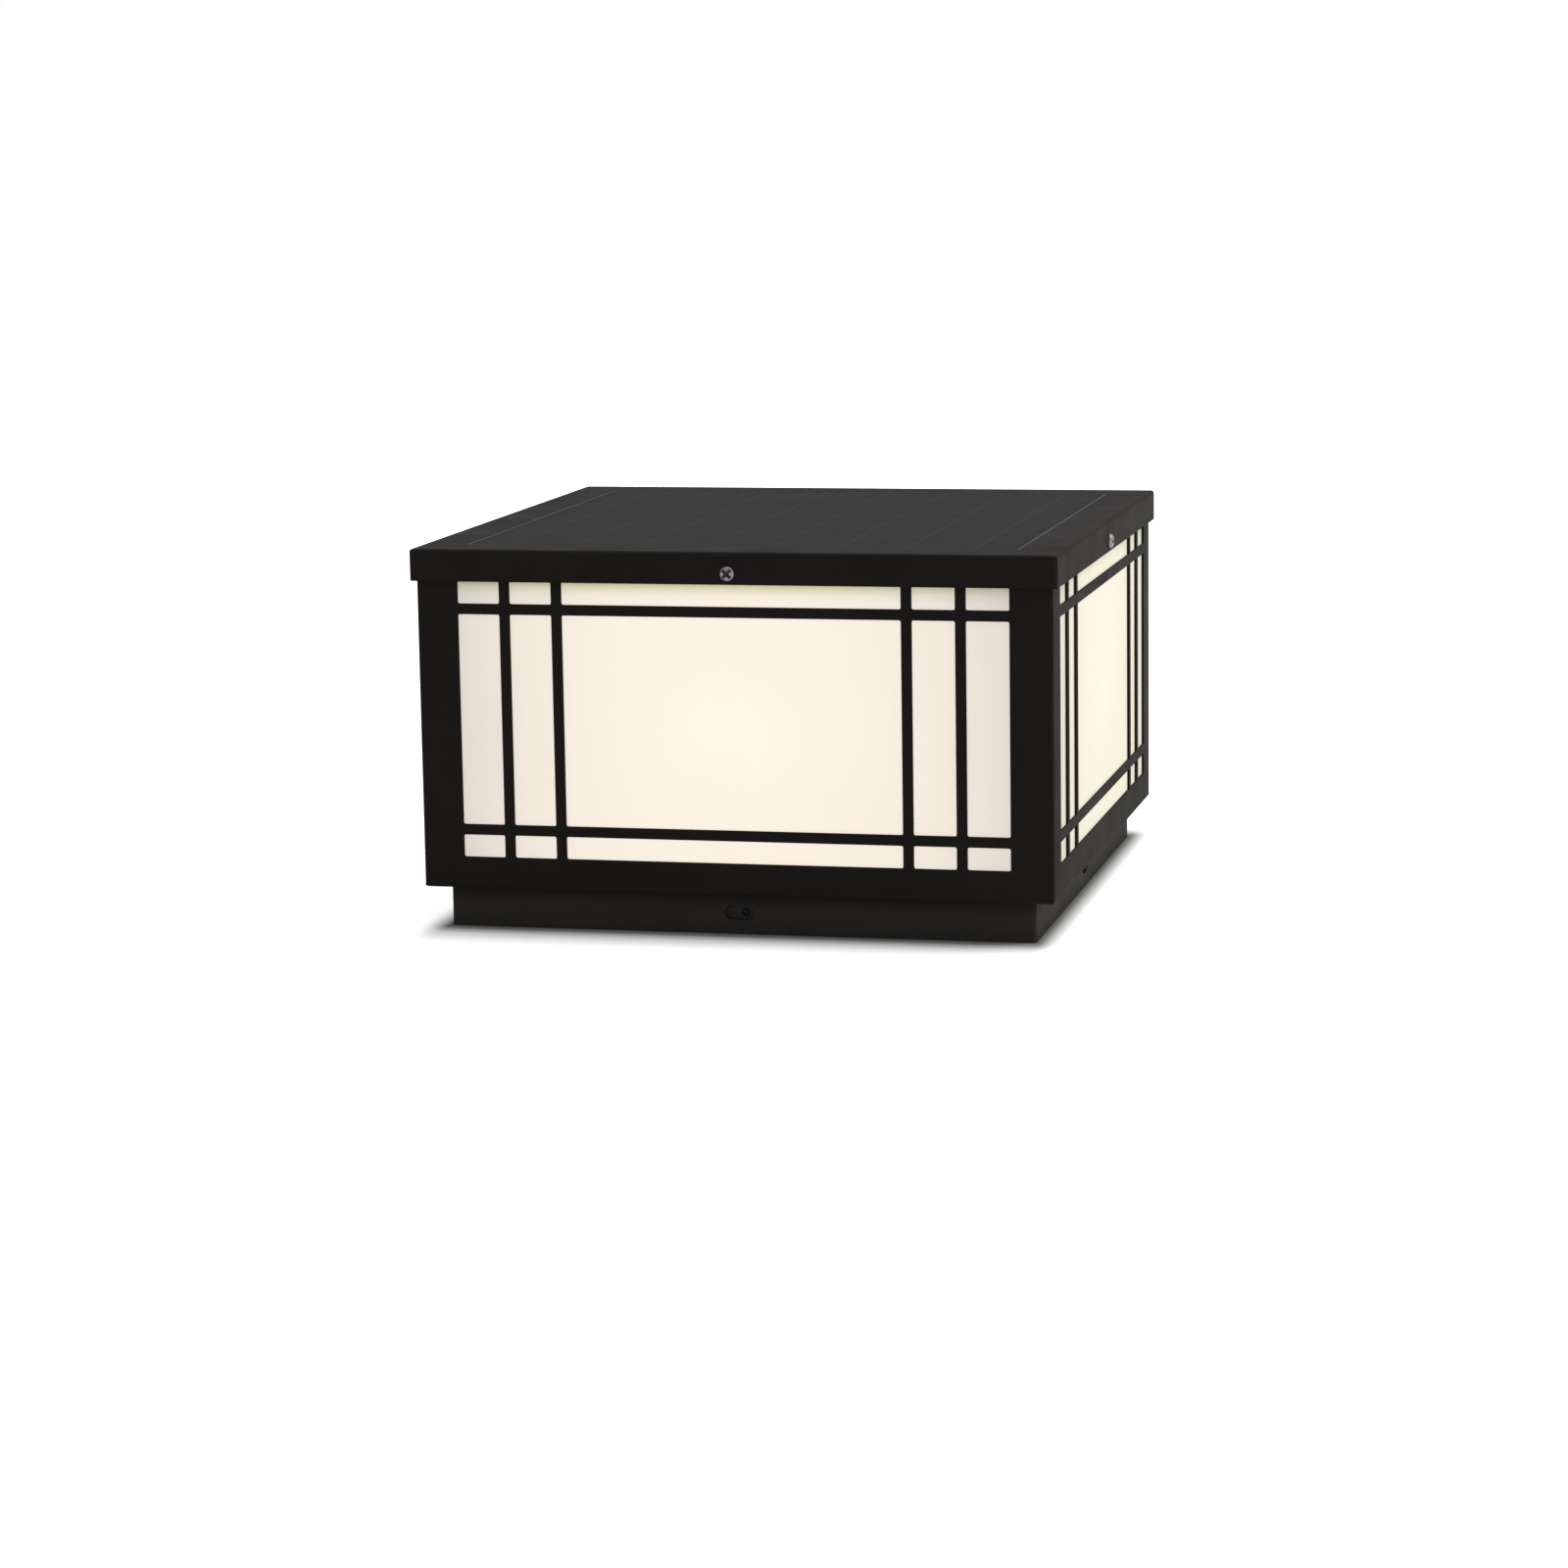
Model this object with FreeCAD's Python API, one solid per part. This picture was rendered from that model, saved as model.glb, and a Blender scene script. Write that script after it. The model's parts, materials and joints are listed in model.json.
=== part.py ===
import FreeCAD, Part
import os
from math import cos, pi, sin

# Solar cube light for a wall, post or pillar top, in millimetres.
# The origin is the middle of the footprint, on the surface that it stands on.
# +Z is up, -Y is the front and +X is the right side. All four sides are alike.

# Envelope
overall_height = 180.0
body_width = 300.0
lid_overhang = 2.5
skirt_height = 15.0
plinth_set_in = 10.0
plinth_height = 20.0

# Sheet metal of the lid, the side panels, the collar and the floor
sheet = 1.2
bend_inner_radius = 0.4
corner_inner_radius = 0.8

# Side panel and its lattice window
stile_width = 20.0
window_sill_height = 15.0
lattice_bar = 5.0
lattice_side_gap = 20.0
lattice_end_gap = 10.5
pane_corner_radius = 0.8
rim_clearance = 1.8
bottom_flange_depth = 25.0
top_flange_depth = 12.0

# Lid screws, which hang in open notches of the side panels
lid_screw_diameter = 4.0
lid_screw_spare = 2.0
lid_screw_edge_distance = 5.2
lid_screw_head_diameter = 7.0
lid_screw_head_height = 2.2
lid_screw_head_round = 1.2
lid_recess_width = 1.0
lid_recess_length = 4.0
lid_recess_depth = 1.2
lid_spacer_diameter = 9.0
notch_clearance = 0.6
nut_across_flats = 7.0
nut_height = 3.2
nut_way_clearance = 1.5
screw_hole_clearance = 0.2
slip_gap = 0.1

# Gasket under the lid
gasket_inner_inset = 1.0
gasket_outer_inset = 0.5

# Solar panel in the pan of the lid
pan_inset = 19.0
pan_corner_radius = 3.0
panel_joint = 1.0
sealant_bed = 0.6
sealant_bed_width = 12.0
backboard_thickness = 1.4
cell_thickness = 0.2
front_sheet_thickness = 1.1
panel_set_down = 0.1
cell_columns = 4
cell_rows = 9
cell_field_margin = 5.0
cell_gap = 1.5

# Diffuser sheets and the corner angles that clamp them
diffuser_thickness = 3.0
diffuser_side_lap = 7.0
diffuser_end_lap = 7.0
diffuser_corner_radius = 1.5
diffuser_notch_clearance = 0.5
angle_window_gap = 1.8
angle_thickness = 1.5
angle_end_gap = 1.0
stud_diameter = 3.0
stud_spare = 1.4
stud_corner_gap = 3.4
stud_end_inset = 15.0
stud_stagger = 8.0
stud_nut_across_flats = 5.5
stud_nut_height = 2.4

# Floor, collar and rivets
floor_edge_gap = 0.5
collar_flange_depth = 20.0
collar_slot_length = 14.5
collar_slot_height = 6.5
rivet_diameter = 4.0
rivet_head_diameter = 8.0
rivet_head_height = 1.4
rivet_head_round = 1.0
rivet_bulb_diameter = 5.6
rivet_bulb_height = 3.0
rivet_edge_distance = 6.0
rivet_spacing = 160.0
weep_hole_diameter = 6.0
weep_hole_inset = 5.0

# Base tray that is fixed to the pillar, and its grub screws
tray_sheet = 2.0
tray_gap = 0.8
tray_top_gap = 1.0
tray_corner_radius = 3.0
anchor_wall_distance = 36.0
anchor_slot_length = 18.0
anchor_slot_width = 9.0
grub_offset = 2.5
grub_diameter = 4.0
grub_end_gap = 0.8
grub_set_in = 0.2
grub_socket_across_flats = 2.0
grub_socket_depth = 1.6
rivet_nut_diameter = 6.0
rivet_nut_flange_diameter = 9.0
rivet_nut_flange = 0.6
rivet_nut_length = 9.0

# Battery box under the pan
box_wall = 2.5
box_corner_radius = 8.0
box_ear_reach = 15.0
box_ear_width = 14.0
box_ear_thickness = 3.0
box_stud_inset = 7.0
box_stud_diameter = 4.0
box_stud_length = 12.0
box_seal_thickness = 1.5
box_cover_thickness = 3.0
box_cover_lip = 2.0
box_cover_lip_wall = 1.5
box_lip_clearance = 0.3
box_screw_diameter = 3.0
box_screw_length = 16.0
box_screw_head_diameter = 5.6
box_screw_head_height = 2.2

# Cells, cradle and contacts
cell_diameter = 18.4
cell_length = 65.0
cell_side_gap = 0.8
cell_middle_gap = 4.0
cell_headroom = 6.1
cradle_base = 3.0
cradle_end_wall = 3.0
cradle_side_wall = 2.0
cradle_fit = 0.15
cradle_room_gap = 15.9
contact_thickness = 0.5
contact_width = 9.0

# Controller board and its parts
board_length = 80.0
board_width = 60.0
board_thickness = 1.6
board_post_diameter = 6.0
board_post_height = 8.9
board_post_inset = 5.0
board_screw_diameter = 2.5
board_screw_length = 6.0
board_screw_head_diameter = 4.6
board_screw_head_height = 1.6
choke_diameter = 10.0
choke_height = 6.0
capacitor_diameter = 6.3
capacitor_height = 9.0
terminal_length = 15.0
terminal_width = 8.0
terminal_height = 9.0

# Leads and their grommet
lead_diameter = 1.6
panel_lead_spacing = 4.0
grommet_hole_diameter = 12.0
grommet_flange_reach = 1.5
grommet_flange_thickness = 0.4
grommet_bore_diameter = 7.0
switch_lead_spacing = 8.0
lead_way_diameter = 12.0

# Lamp core, a square tube with the light boards on its four sides
core_width = 50.0
core_wall = 2.5
core_tube_height = 50.0
core_flange_reach = 12.0
core_flange_thickness = 3.0
core_screw_reach = 6.0
core_screw_length = 6.0
light_board_side_gap = 3.0
light_board_end_gap = 2.0
light_board_thickness = 1.6
light_board_screw_inset = 4.0
light_chip_width = 2.8
light_chip_height = 3.5
light_chip_thickness = 0.8
light_chip_columns = 3
light_chip_rows = 4
light_chip_side_inset = 12.5
light_chip_screw_distance = 4.75
core_cap_thickness = 3.0
core_cap_lip_height = 6.0
core_cap_lip_wall = 2.0
core_cap_clearance = 0.2

# Push switch under the core
switch_hole_diameter = 12.0
switch_flange_reach = 2.0
switch_flange_thickness = 2.0
switch_body_height = 26.0
switch_clearance = 0.2
switch_nut_wall = 1.5
switch_nut_height = 2.0
button_diameter = 8.0
button_bore_clearance = 0.05
button_proud = 4.0
button_depth = 7.0
button_travel = 2.0
button_edge_round = 1.0
button_bore_spare = 1.0

# Overrun of every cut, and how near a point lies to the place it is looked up by
overrun = 1.0
match = 0.01

# Places that follow from the sizes above: the sheet metal
bend_outer_radius = bend_inner_radius + sheet
corner_outer_radius = corner_inner_radius + sheet
body_half = body_width / 2
lid_half = body_half + lid_overhang
plinth_half = body_half - plinth_set_in
panel_inner = body_half - sheet
skirt_bottom = overall_height - skirt_height
lid_under = overall_height - sheet
body_top = lid_under - rim_clearance
tray_half = plinth_half - sheet - tray_gap
anchor_place = tray_half - tray_sheet - anchor_wall_distance
rivet_inset = bottom_flange_depth - rivet_edge_distance
weep_hole_place = plinth_half - collar_flange_depth - weep_hole_inset
grub_height = plinth_height / 2
grub_face = plinth_half - grub_set_in
grub_length = grub_face - tray_half + rivet_nut_length - grub_end_gap

# The window, which reaches up to the skirt of the lid, and what lies behind it
window_width = body_width - 2 * stile_width
window_bottom = plinth_height + window_sill_height
window_top = skirt_bottom
window_height = window_top - window_bottom
window_middle = window_bottom + window_height / 2
diffuser_inner = panel_inner - diffuser_thickness
angle_inner = diffuser_inner - angle_thickness
angle_leg = diffuser_inner - window_width / 2 - angle_window_gap
stud_place = angle_inner - stud_corner_gap
stud_height_spacing = window_height - 2 * stud_end_inset
stud_length = diffuser_thickness + angle_thickness + stud_nut_height + stud_spare

# The lid screws and the solar panel
lid_screw_height = skirt_bottom + lid_screw_edge_distance
lid_screw_length = lid_overhang + sheet + slip_gap + nut_height + lid_screw_spare
nut_way_half = nut_across_flats / 2 / cos(pi / 6) + nut_way_clearance
panel_stack = sealant_bed + backboard_thickness + cell_thickness + front_sheet_thickness
pan_depth = panel_stack + panel_set_down
pan_half = body_half - pan_inset
pan_floor = overall_height - pan_depth
pan_under = pan_floor - sheet
panel_edge = pan_half - panel_joint
panel_corner_radius = pan_corner_radius - panel_joint
cell_field_width = 2 * (panel_edge - cell_field_margin)

# The battery box, sized from the cells and the controller that it holds
cell_pitch = cell_diameter + cell_side_gap
inner_cell_place = cell_diameter / 2 + cell_middle_gap / 2
outer_cell_place = inner_cell_place + cell_pitch
cradle_half_width = outer_cell_place + cell_diameter / 2 + cradle_side_wall
box_half = cradle_half_width + cradle_room_gap + box_wall
board_room = box_wall + board_post_height + board_thickness + capacitor_height
box_height = board_room + cell_headroom + cell_diameter + cradle_base - box_seal_thickness
box_bottom = pan_under - box_height
cover_top = box_bottom - box_seal_thickness
cover_bottom = cover_top - box_cover_thickness
board_top = pan_under - box_wall - board_post_height
board_bottom = board_top - board_thickness
cell_axis_height = cover_top + cradle_base + cell_diameter / 2

# The lamp core and the switch that hang under the battery box
core_flange_width = core_width + 2 * core_flange_reach
core_screw_spacing = core_width + 2 * core_screw_reach
core_flange_bottom = cover_bottom - core_flange_thickness
core_bottom = core_flange_bottom - core_tube_height
core_middle = core_bottom + core_tube_height / 2
light_board_width = core_width - 2 * light_board_side_gap
light_board_height = core_tube_height - 2 * light_board_end_gap
light_board_screw_reach = light_board_height / 2 - light_board_screw_inset
light_chip_reach_x = light_board_width / 2 - light_chip_side_inset
light_chip_reach_z = light_board_screw_reach - light_chip_screw_distance
cap_bottom = core_bottom - core_cap_thickness
switch_flange_bottom = cap_bottom - switch_flange_thickness

up = FreeCAD.Vector(0, 0, 1)
inward = FreeCAD.Vector(0, 1, 0)
outward = FreeCAD.Vector(0, -1, 0)
along = FreeCAD.Vector(1, 0, 0)
middle = FreeCAD.Vector(0, 0, 0)


def block(x_low, x_high, y_low, y_high, z_low, z_high):
    corner = FreeCAD.Vector(x_low, y_low, z_low)
    return Part.makeBox(x_high - x_low, y_high - y_low, z_high - z_low, corner)


def post(radius, x, y, z_low, z_high):
    return Part.makeCylinder(radius, z_high - z_low, FreeCAD.Vector(x, y, z_low), up)


def pin(radius, x, y, z, direction, length):
    return Part.makeCylinder(radius, length, FreeCAD.Vector(x, y, z), direction)


def round_edges(shape, radius, direction):
    """Rounds every straight edge that runs along a direction."""
    edges = [edge for edge in shape.Edges if runs_along(edge, direction)]
    return shape.makeFillet(radius, edges)


def runs_along(edge, direction):
    if len(edge.Vertexes) != 2:
        return False
    span = edge.Vertexes[1].Point.sub(edge.Vertexes[0].Point)
    return abs(abs(span.dot(direction)) - span.Length) < match


def edges_at(shape, places):
    """Finds the edges along X whose Y and Z are one of the given places."""
    found = []
    for edge in shape.Edges:
        if not runs_along(edge, along):
            continue
        point = edge.Vertexes[0].Point
        for y, z in places:
            if abs(point.y - y) < match and abs(point.z - z) < match:
                found.append(edge)
    return found


def square_plate(half, z_low, z_high, corner_radius):
    plate = block(-half, half, -half, half, z_low, z_high)
    return round_edges(plate, corner_radius, up)


def hexagon(across_flats, z_low, z_high, x, y):
    """A hexagonal prism along Z with two flats square to Y."""
    radius = across_flats / 2 / cos(pi / 6)
    corners = []
    for step in range(7):
        angle = step * pi / 3
        corners.append(FreeCAD.Vector(x + radius * cos(angle), y + radius * sin(angle), z_low))
    return Part.Face(Part.makePolygon(corners)).extrude(up * (z_high - z_low))


def hexagon_inward(across_flats, x, y, z, length):
    """A hexagonal prism that starts at y and runs inward, along +Y."""
    upright = hexagon(across_flats, 0, length, 0, 0)
    upright.rotate(middle, along, -90)
    upright.translate(FreeCAD.Vector(x, y, z))
    return upright


def obround_inward(length, height, x, y, z, depth):
    """A slot cutter, long in X, that starts at y and runs inward."""
    radius = height / 2
    reach = length / 2 - radius
    bar = block(x - reach, x + reach, y, y + depth, z - radius, z + radius)
    left = pin(radius, x - reach, y, z, inward, depth)
    right = pin(radius, x + reach, y, z, inward, depth)
    return bar.fuse([left, right]).removeSplitter()


def obround_up(length, width, x, y, z_low, z_high):
    """A slot cutter, long in X, that runs up."""
    radius = width / 2
    reach = length / 2 - radius
    bar = block(x - reach, x + reach, y - radius, y + radius, z_low, z_high)
    left = post(radius, x - reach, y, z_low, z_high)
    right = post(radius, x + reach, y, z_low, z_high)
    return bar.fuse([left, right]).removeSplitter()


def turned(shape, quarter_turns):
    copy = shape.copy()
    copy.rotate(middle, up, 90 * quarter_turns)
    return copy


def on_four_sides(shape):
    return [turned(shape, quarter) for quarter in range(4)]


def at_four_corners(shape, distance):
    """Copies of a shape made on the Z axis, at the corners of a square."""
    copies = []
    for x_side in (-1, 1):
        for y_side in (-1, 1):
            copy = shape.copy()
            copy.translate(FreeCAD.Vector(x_side * distance, y_side * distance, 0))
            copies.append(copy)
    return copies


def rims_at(shape, axis, place):
    """The full circles of a turned shape that lie at one place on an axis."""
    return [edge for edge in shape.Edges if len(edge.Vertexes) == 1
            and abs(edge.Vertexes[0].Point.dot(axis) - place) < match]


def dome_head(radius, rounding, x, y, z_low, z_high):
    head = post(radius, x, y, z_low, z_high)
    return head.makeFillet(rounding, rims_at(head, up, z_high))


def hanging_screw(radius, length, head_radius, head_height, z):
    """A pan-head screw on the Z axis that points up, with its head under z."""
    shank = post(radius, 0, 0, z, z + length)
    head = post(head_radius, 0, 0, z - head_height, z)
    return head.makeFillet(head_height / 2, rims_at(head, up, z - head_height)).fuse(shank)


def lattice_columns():
    """Left and right edges of the five panes across the window."""
    outer = window_width / 2
    first = outer - lattice_side_gap
    second = first - lattice_bar
    third = second - lattice_side_gap
    fourth = third - lattice_bar
    right = [(third, second), (first, outer)]
    left = [(-outer, -first), (-second, -third)]
    return left + [(-fourth, fourth)] + right


def lattice_rows():
    """Lower and upper edges of the three panes up the window."""
    lower = window_bottom + lattice_end_gap
    upper = window_top - lattice_end_gap
    middle_row = (lower + lattice_bar, upper - lattice_bar)
    return [(window_bottom, lower), middle_row, (upper, window_top)]


def lattice_panes():
    panes = []
    for x_low, x_high in lattice_columns():
        for z_low, z_high in lattice_rows():
            pane = block(x_low, x_high, -body_half - overrun, -panel_inner + overrun, z_low, z_high)
            panes.append(round_edges(pane, pane_corner_radius, inward))
    return panes


def lid_notch():
    """The open notch for a lid screw, and the way for its nut through the top flange."""
    radius = lid_screw_diameter / 2 + notch_clearance
    slot = block(-radius, radius, -body_half - overrun, -panel_inner + overrun,
                 lid_screw_height, body_top + overrun)
    foot = pin(radius, 0, -body_half - overrun, lid_screw_height, inward, sheet + 2 * overrun)
    nut_way = block(-nut_way_half, nut_way_half, -panel_inner, -body_half + top_flange_depth + overrun,
                    lid_screw_height, body_top + overrun)
    return slot.fuse([foot, nut_way])


def corner_wedge(reach, z_low, z_high):
    """The quarter of the plan that faces the front, between its two mitre planes."""
    corners = [FreeCAD.Vector(0, 0, z_low), FreeCAD.Vector(-reach, -reach, z_low),
               FreeCAD.Vector(reach, -reach, z_low), FreeCAD.Vector(0, 0, z_low)]
    return Part.Face(Part.makePolygon(corners)).extrude(up * (z_high - z_low))


def front_panel():
    """One folded side: wall, bottom and top flange, mitred ends and the lattice."""
    wall = block(-body_half, body_half, -body_half, -panel_inner, plinth_height, body_top)
    foot = block(-body_half, body_half, -body_half, -body_half + bottom_flange_depth,
                 plinth_height, plinth_height + sheet)
    head = block(-body_half, body_half, -body_half, -body_half + top_flange_depth,
                 body_top - sheet, body_top)
    folded = wall.fuse([foot, head]).removeSplitter()
    outer_bends = [(-body_half, plinth_height), (-body_half, body_top)]
    inner_bends = [(-panel_inner, plinth_height + sheet), (-panel_inner, body_top - sheet)]
    folded = folded.makeFillet(bend_outer_radius, edges_at(folded, outer_bends))
    folded = folded.makeFillet(bend_inner_radius, edges_at(folded, inner_bends))
    quarter = corner_wedge(body_half + overrun, plinth_height, body_top)
    rounded = square_plate(body_half, plinth_height, body_top, corner_outer_radius)
    mitred = folded.common(quarter).common(rounded)
    rivet_holes = [post(rivet_diameter / 2, x, -body_half + rivet_inset,
                        plinth_height - overrun, plinth_height + sheet + overrun)
                   for x in (-rivet_spacing / 2, rivet_spacing / 2)]
    return mitred.cut(lattice_panes() + [lid_notch()] + rivet_holes)


def stud_places():
    """Places of four studs on a side. The stagger keeps those of two sides clear at a corner."""
    places = []
    for x_side in (-1, 1):
        for z_side in (-1, 1):
            x = x_side * stud_place
            z = window_middle + (z_side * stud_height_spacing - x_side * stud_stagger) / 2
            places.append((x, z))
    return places


def panel_studs():
    studs = [pin(stud_diameter / 2, x, -panel_inner, z, inward, stud_length) for x, z in stud_places()]
    return [copy for stud in studs for copy in on_four_sides(stud)]


def stud_nuts():
    face = -angle_inner
    nuts = []
    for x, z in stud_places():
        nut = hexagon_inward(stud_nut_across_flats, x, face, z, stud_nut_height)
        bore = pin(stud_diameter / 2, x, face - overrun, z, inward, stud_nut_height + 2 * overrun)
        nuts.extend(on_four_sides(nut.cut(bore)))
    return nuts


def front_diffuser():
    """A flat opal sheet behind the lattice, notched at the top for the nut of the lid screw."""
    half = window_width / 2 + diffuser_side_lap
    sheet_blank = block(-half, half, -panel_inner, -diffuser_inner,
                        window_bottom - diffuser_end_lap, window_top + diffuser_end_lap)
    notch = block(-nut_way_half, nut_way_half, -panel_inner - overrun, -diffuser_inner + overrun,
                  lid_screw_height - nut_across_flats / 2 - diffuser_notch_clearance,
                  window_top + diffuser_end_lap + overrun)
    return round_edges(sheet_blank, diffuser_corner_radius, inward).cut(notch)


def corner_angle():
    """The angle of the front left corner, which clamps two diffusers by their ends."""
    z_low = plinth_height + 2 * sheet + angle_end_gap
    z_high = body_top - sheet - angle_end_gap
    outer = -diffuser_inner
    legs = block(outer, outer + angle_leg, outer, outer + angle_leg, z_low, z_high)
    hollow = block(-angle_inner, outer + angle_leg + overrun, -angle_inner,
                   outer + angle_leg + overrun, z_low - overrun, z_high + overrun)
    angle = legs.cut(hollow)
    holes = []
    radius = stud_diameter / 2 + screw_hole_clearance
    for x, z in stud_places():
        front_hole = pin(radius, x, outer - overrun, z, inward, angle_thickness + 2 * overrun)
        holes.extend(on_four_sides(front_hole))
    return angle.cut(holes)


def plinth_collar():
    """The folded collar under the body: four walls, a flange on top and a slot in each side."""
    outer = square_plate(plinth_half, 0, plinth_height, corner_outer_radius)
    bore = square_plate(plinth_half - sheet, -overrun, plinth_height - sheet, corner_inner_radius)
    mouth = square_plate(plinth_half - collar_flange_depth, -overrun, plinth_height + overrun,
                         corner_outer_radius)
    rim = outer.cut([bore, mouth])
    slot = obround_inward(collar_slot_length, collar_slot_height, 0, -plinth_half - overrun,
                          grub_height, sheet + 2 * overrun)
    holes = [post(rivet_diameter / 2, x, -body_half + rivet_inset,
                  plinth_height - sheet - overrun, plinth_height + overrun)
             for x in (-rivet_spacing / 2, rivet_spacing / 2)]
    cutters = [copy for cutter in [slot] + holes for copy in on_four_sides(cutter)]
    return rim.cut(cutters)


def floor_pan():
    z_low = plinth_height + sheet
    plate = square_plate(panel_inner - floor_edge_gap, z_low, z_low + sheet, corner_outer_radius)
    weep = post(weep_hole_diameter / 2, 0, 0, z_low - overrun, z_low + sheet + overrun)
    weeps = at_four_corners(weep, weep_hole_place)
    holes = []
    for x in (-rivet_spacing / 2, rivet_spacing / 2):
        hole = post(rivet_diameter / 2, x, -body_half + rivet_inset,
                    z_low - overrun, z_low + sheet + overrun)
        holes.extend(on_four_sides(hole))
    return plate.cut(weeps + holes)


def floor_rivets():
    """Blind rivets through the floor, the panel flange and the collar flange."""
    top = plinth_height + 2 * sheet
    under = plinth_height - sheet
    rivets = []
    for x in (-rivet_spacing / 2, rivet_spacing / 2):
        y = -body_half + rivet_inset
        head = dome_head(rivet_head_diameter / 2, rivet_head_round, x, y, top, top + rivet_head_height)
        shank = post(rivet_diameter / 2, x, y, under, top)
        bulb = post(rivet_bulb_diameter / 2, x, y, under - rivet_bulb_height, under)
        rivets.extend(on_four_sides(head.fuse([shank, bulb])))
    return rivets


def base_tray():
    """The shallow tray that anchors to the pillar, inside the collar."""
    top = plinth_height - sheet - tray_top_gap
    outer = square_plate(tray_half, 0, top, tray_corner_radius)
    inner = square_plate(tray_half - tray_sheet, tray_sheet, top + overrun, tray_corner_radius - tray_sheet)
    slot = obround_up(anchor_slot_length, anchor_slot_width, 0, 0, -overrun, tray_sheet + overrun)
    slots = at_four_corners(slot, anchor_place)
    nut_hole = pin(rivet_nut_diameter / 2, grub_offset, -tray_half - overrun, grub_height, inward,
                   tray_sheet + 2 * overrun)
    return outer.cut([inner] + slots + on_four_sides(nut_hole))


def tray_rivet_nuts():
    barrel = pin(rivet_nut_diameter / 2, grub_offset, -tray_half, grub_height, inward, rivet_nut_length)
    flange = pin(rivet_nut_flange_diameter / 2, grub_offset, -tray_half, grub_height, outward,
                 rivet_nut_flange)
    bore = pin(grub_diameter / 2, grub_offset, -tray_half - rivet_nut_flange - overrun, grub_height,
               inward, rivet_nut_flange + rivet_nut_length + 2 * overrun)
    return on_four_sides(barrel.fuse(flange).cut(bore))


def grub_screws():
    """Set screws that are backed out of the tray into the slots of the collar."""
    screw = pin(grub_diameter / 2, grub_offset, -grub_face, grub_height, inward, grub_length)
    socket = hexagon_inward(grub_socket_across_flats, grub_offset, -grub_face - overrun, grub_height,
                            grub_socket_depth + overrun)
    return on_four_sides(screw.cut(socket))


def lid_tray():
    """The folded lid: a skirt all round and a pressed pan for the solar panel."""
    outer = square_plate(lid_half, skirt_bottom, overall_height, corner_outer_radius)
    rim = [edge for edge in outer.Edges
           if min(vertex.Point.z for vertex in edge.Vertexes) > overall_height - match]
    outer = outer.makeFillet(bend_outer_radius, rim)
    hollow = square_plate(lid_half - sheet, skirt_bottom - overrun, lid_under, corner_inner_radius)
    shell = outer.cut(hollow)
    pan = square_plate(pan_half + sheet, pan_under, lid_under + sheet / 2, pan_corner_radius + sheet)
    well = square_plate(pan_half, pan_floor, overall_height + overrun, pan_corner_radius)
    lid = shell.fuse(pan).cut(well)
    hole_radius = lid_screw_diameter / 2 + screw_hole_clearance
    screw_hole = pin(hole_radius, 0, -lid_half - overrun, lid_screw_height, inward, sheet + 2 * overrun)
    lead_hole = post(grommet_hole_diameter / 2, 0, 0, pan_under - overrun, pan_floor + overrun)
    return lid.cut(on_four_sides(screw_hole) + [lead_hole])


def lid_screws():
    """Pan-head screws with a cross recess, one in the middle of each side of the skirt."""
    face = -lid_half
    head = pin(lid_screw_head_diameter / 2, 0, face - lid_screw_head_height, lid_screw_height, inward,
               lid_screw_head_height)
    head = head.makeFillet(lid_screw_head_round, rims_at(head, inward, face - lid_screw_head_height))
    shank = pin(lid_screw_diameter / 2, 0, face, lid_screw_height, inward, lid_screw_length)
    arm = lid_recess_length / 2
    half_width = lid_recess_width / 2
    front = face - lid_screw_head_height - overrun
    depth = face - lid_screw_head_height + lid_recess_depth
    level = block(-arm, arm, front, depth, lid_screw_height - half_width, lid_screw_height + half_width)
    upright = block(-half_width, half_width, front, depth, lid_screw_height - arm, lid_screw_height + arm)
    return on_four_sides(head.fuse(shank).cut([level, upright]))


def lid_spacers():
    """Nylon washers that fill the gap between the skirt and the side panel."""
    start = -lid_half + sheet
    thickness = lid_half - sheet - body_half - slip_gap
    disc = pin(lid_spacer_diameter / 2, 0, start, lid_screw_height, inward, thickness)
    bore = pin(lid_screw_diameter / 2, 0, start - overrun, lid_screw_height, inward, thickness + 2 * overrun)
    return on_four_sides(disc.cut(bore))


def lid_nuts():
    start = -panel_inner + slip_gap
    nut = hexagon_inward(nut_across_flats, 0, start, lid_screw_height, nut_height)
    bore = pin(lid_screw_diameter / 2, 0, start - overrun, lid_screw_height, inward,
               nut_height + 2 * overrun)
    return on_four_sides(nut.cut(bore))


def lid_gasket():
    outer = square_plate(body_half - gasket_outer_inset, body_top, lid_under, corner_outer_radius)
    inner_half = body_half - top_flange_depth + gasket_inner_inset
    inner = square_plate(inner_half, body_top - overrun, lid_under + overrun, corner_outer_radius)
    return outer.cut(inner)


def panel_sealant():
    """A bed under the rim of the solar panel, and the joint round its edge."""
    bed_top = pan_floor + sealant_bed
    top = overall_height - panel_set_down
    bed = square_plate(pan_half, pan_floor, top, pan_corner_radius)
    panel_room = square_plate(panel_edge, bed_top, top + overrun, panel_corner_radius)
    inner = square_plate(panel_edge - sealant_bed_width, pan_floor - overrun, bed_top + overrun,
                         pan_corner_radius)
    return bed.cut([panel_room, inner])


def solar_backboard():
    z_low = pan_floor + sealant_bed
    return square_plate(panel_edge, z_low, z_low + backboard_thickness, panel_corner_radius)


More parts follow.
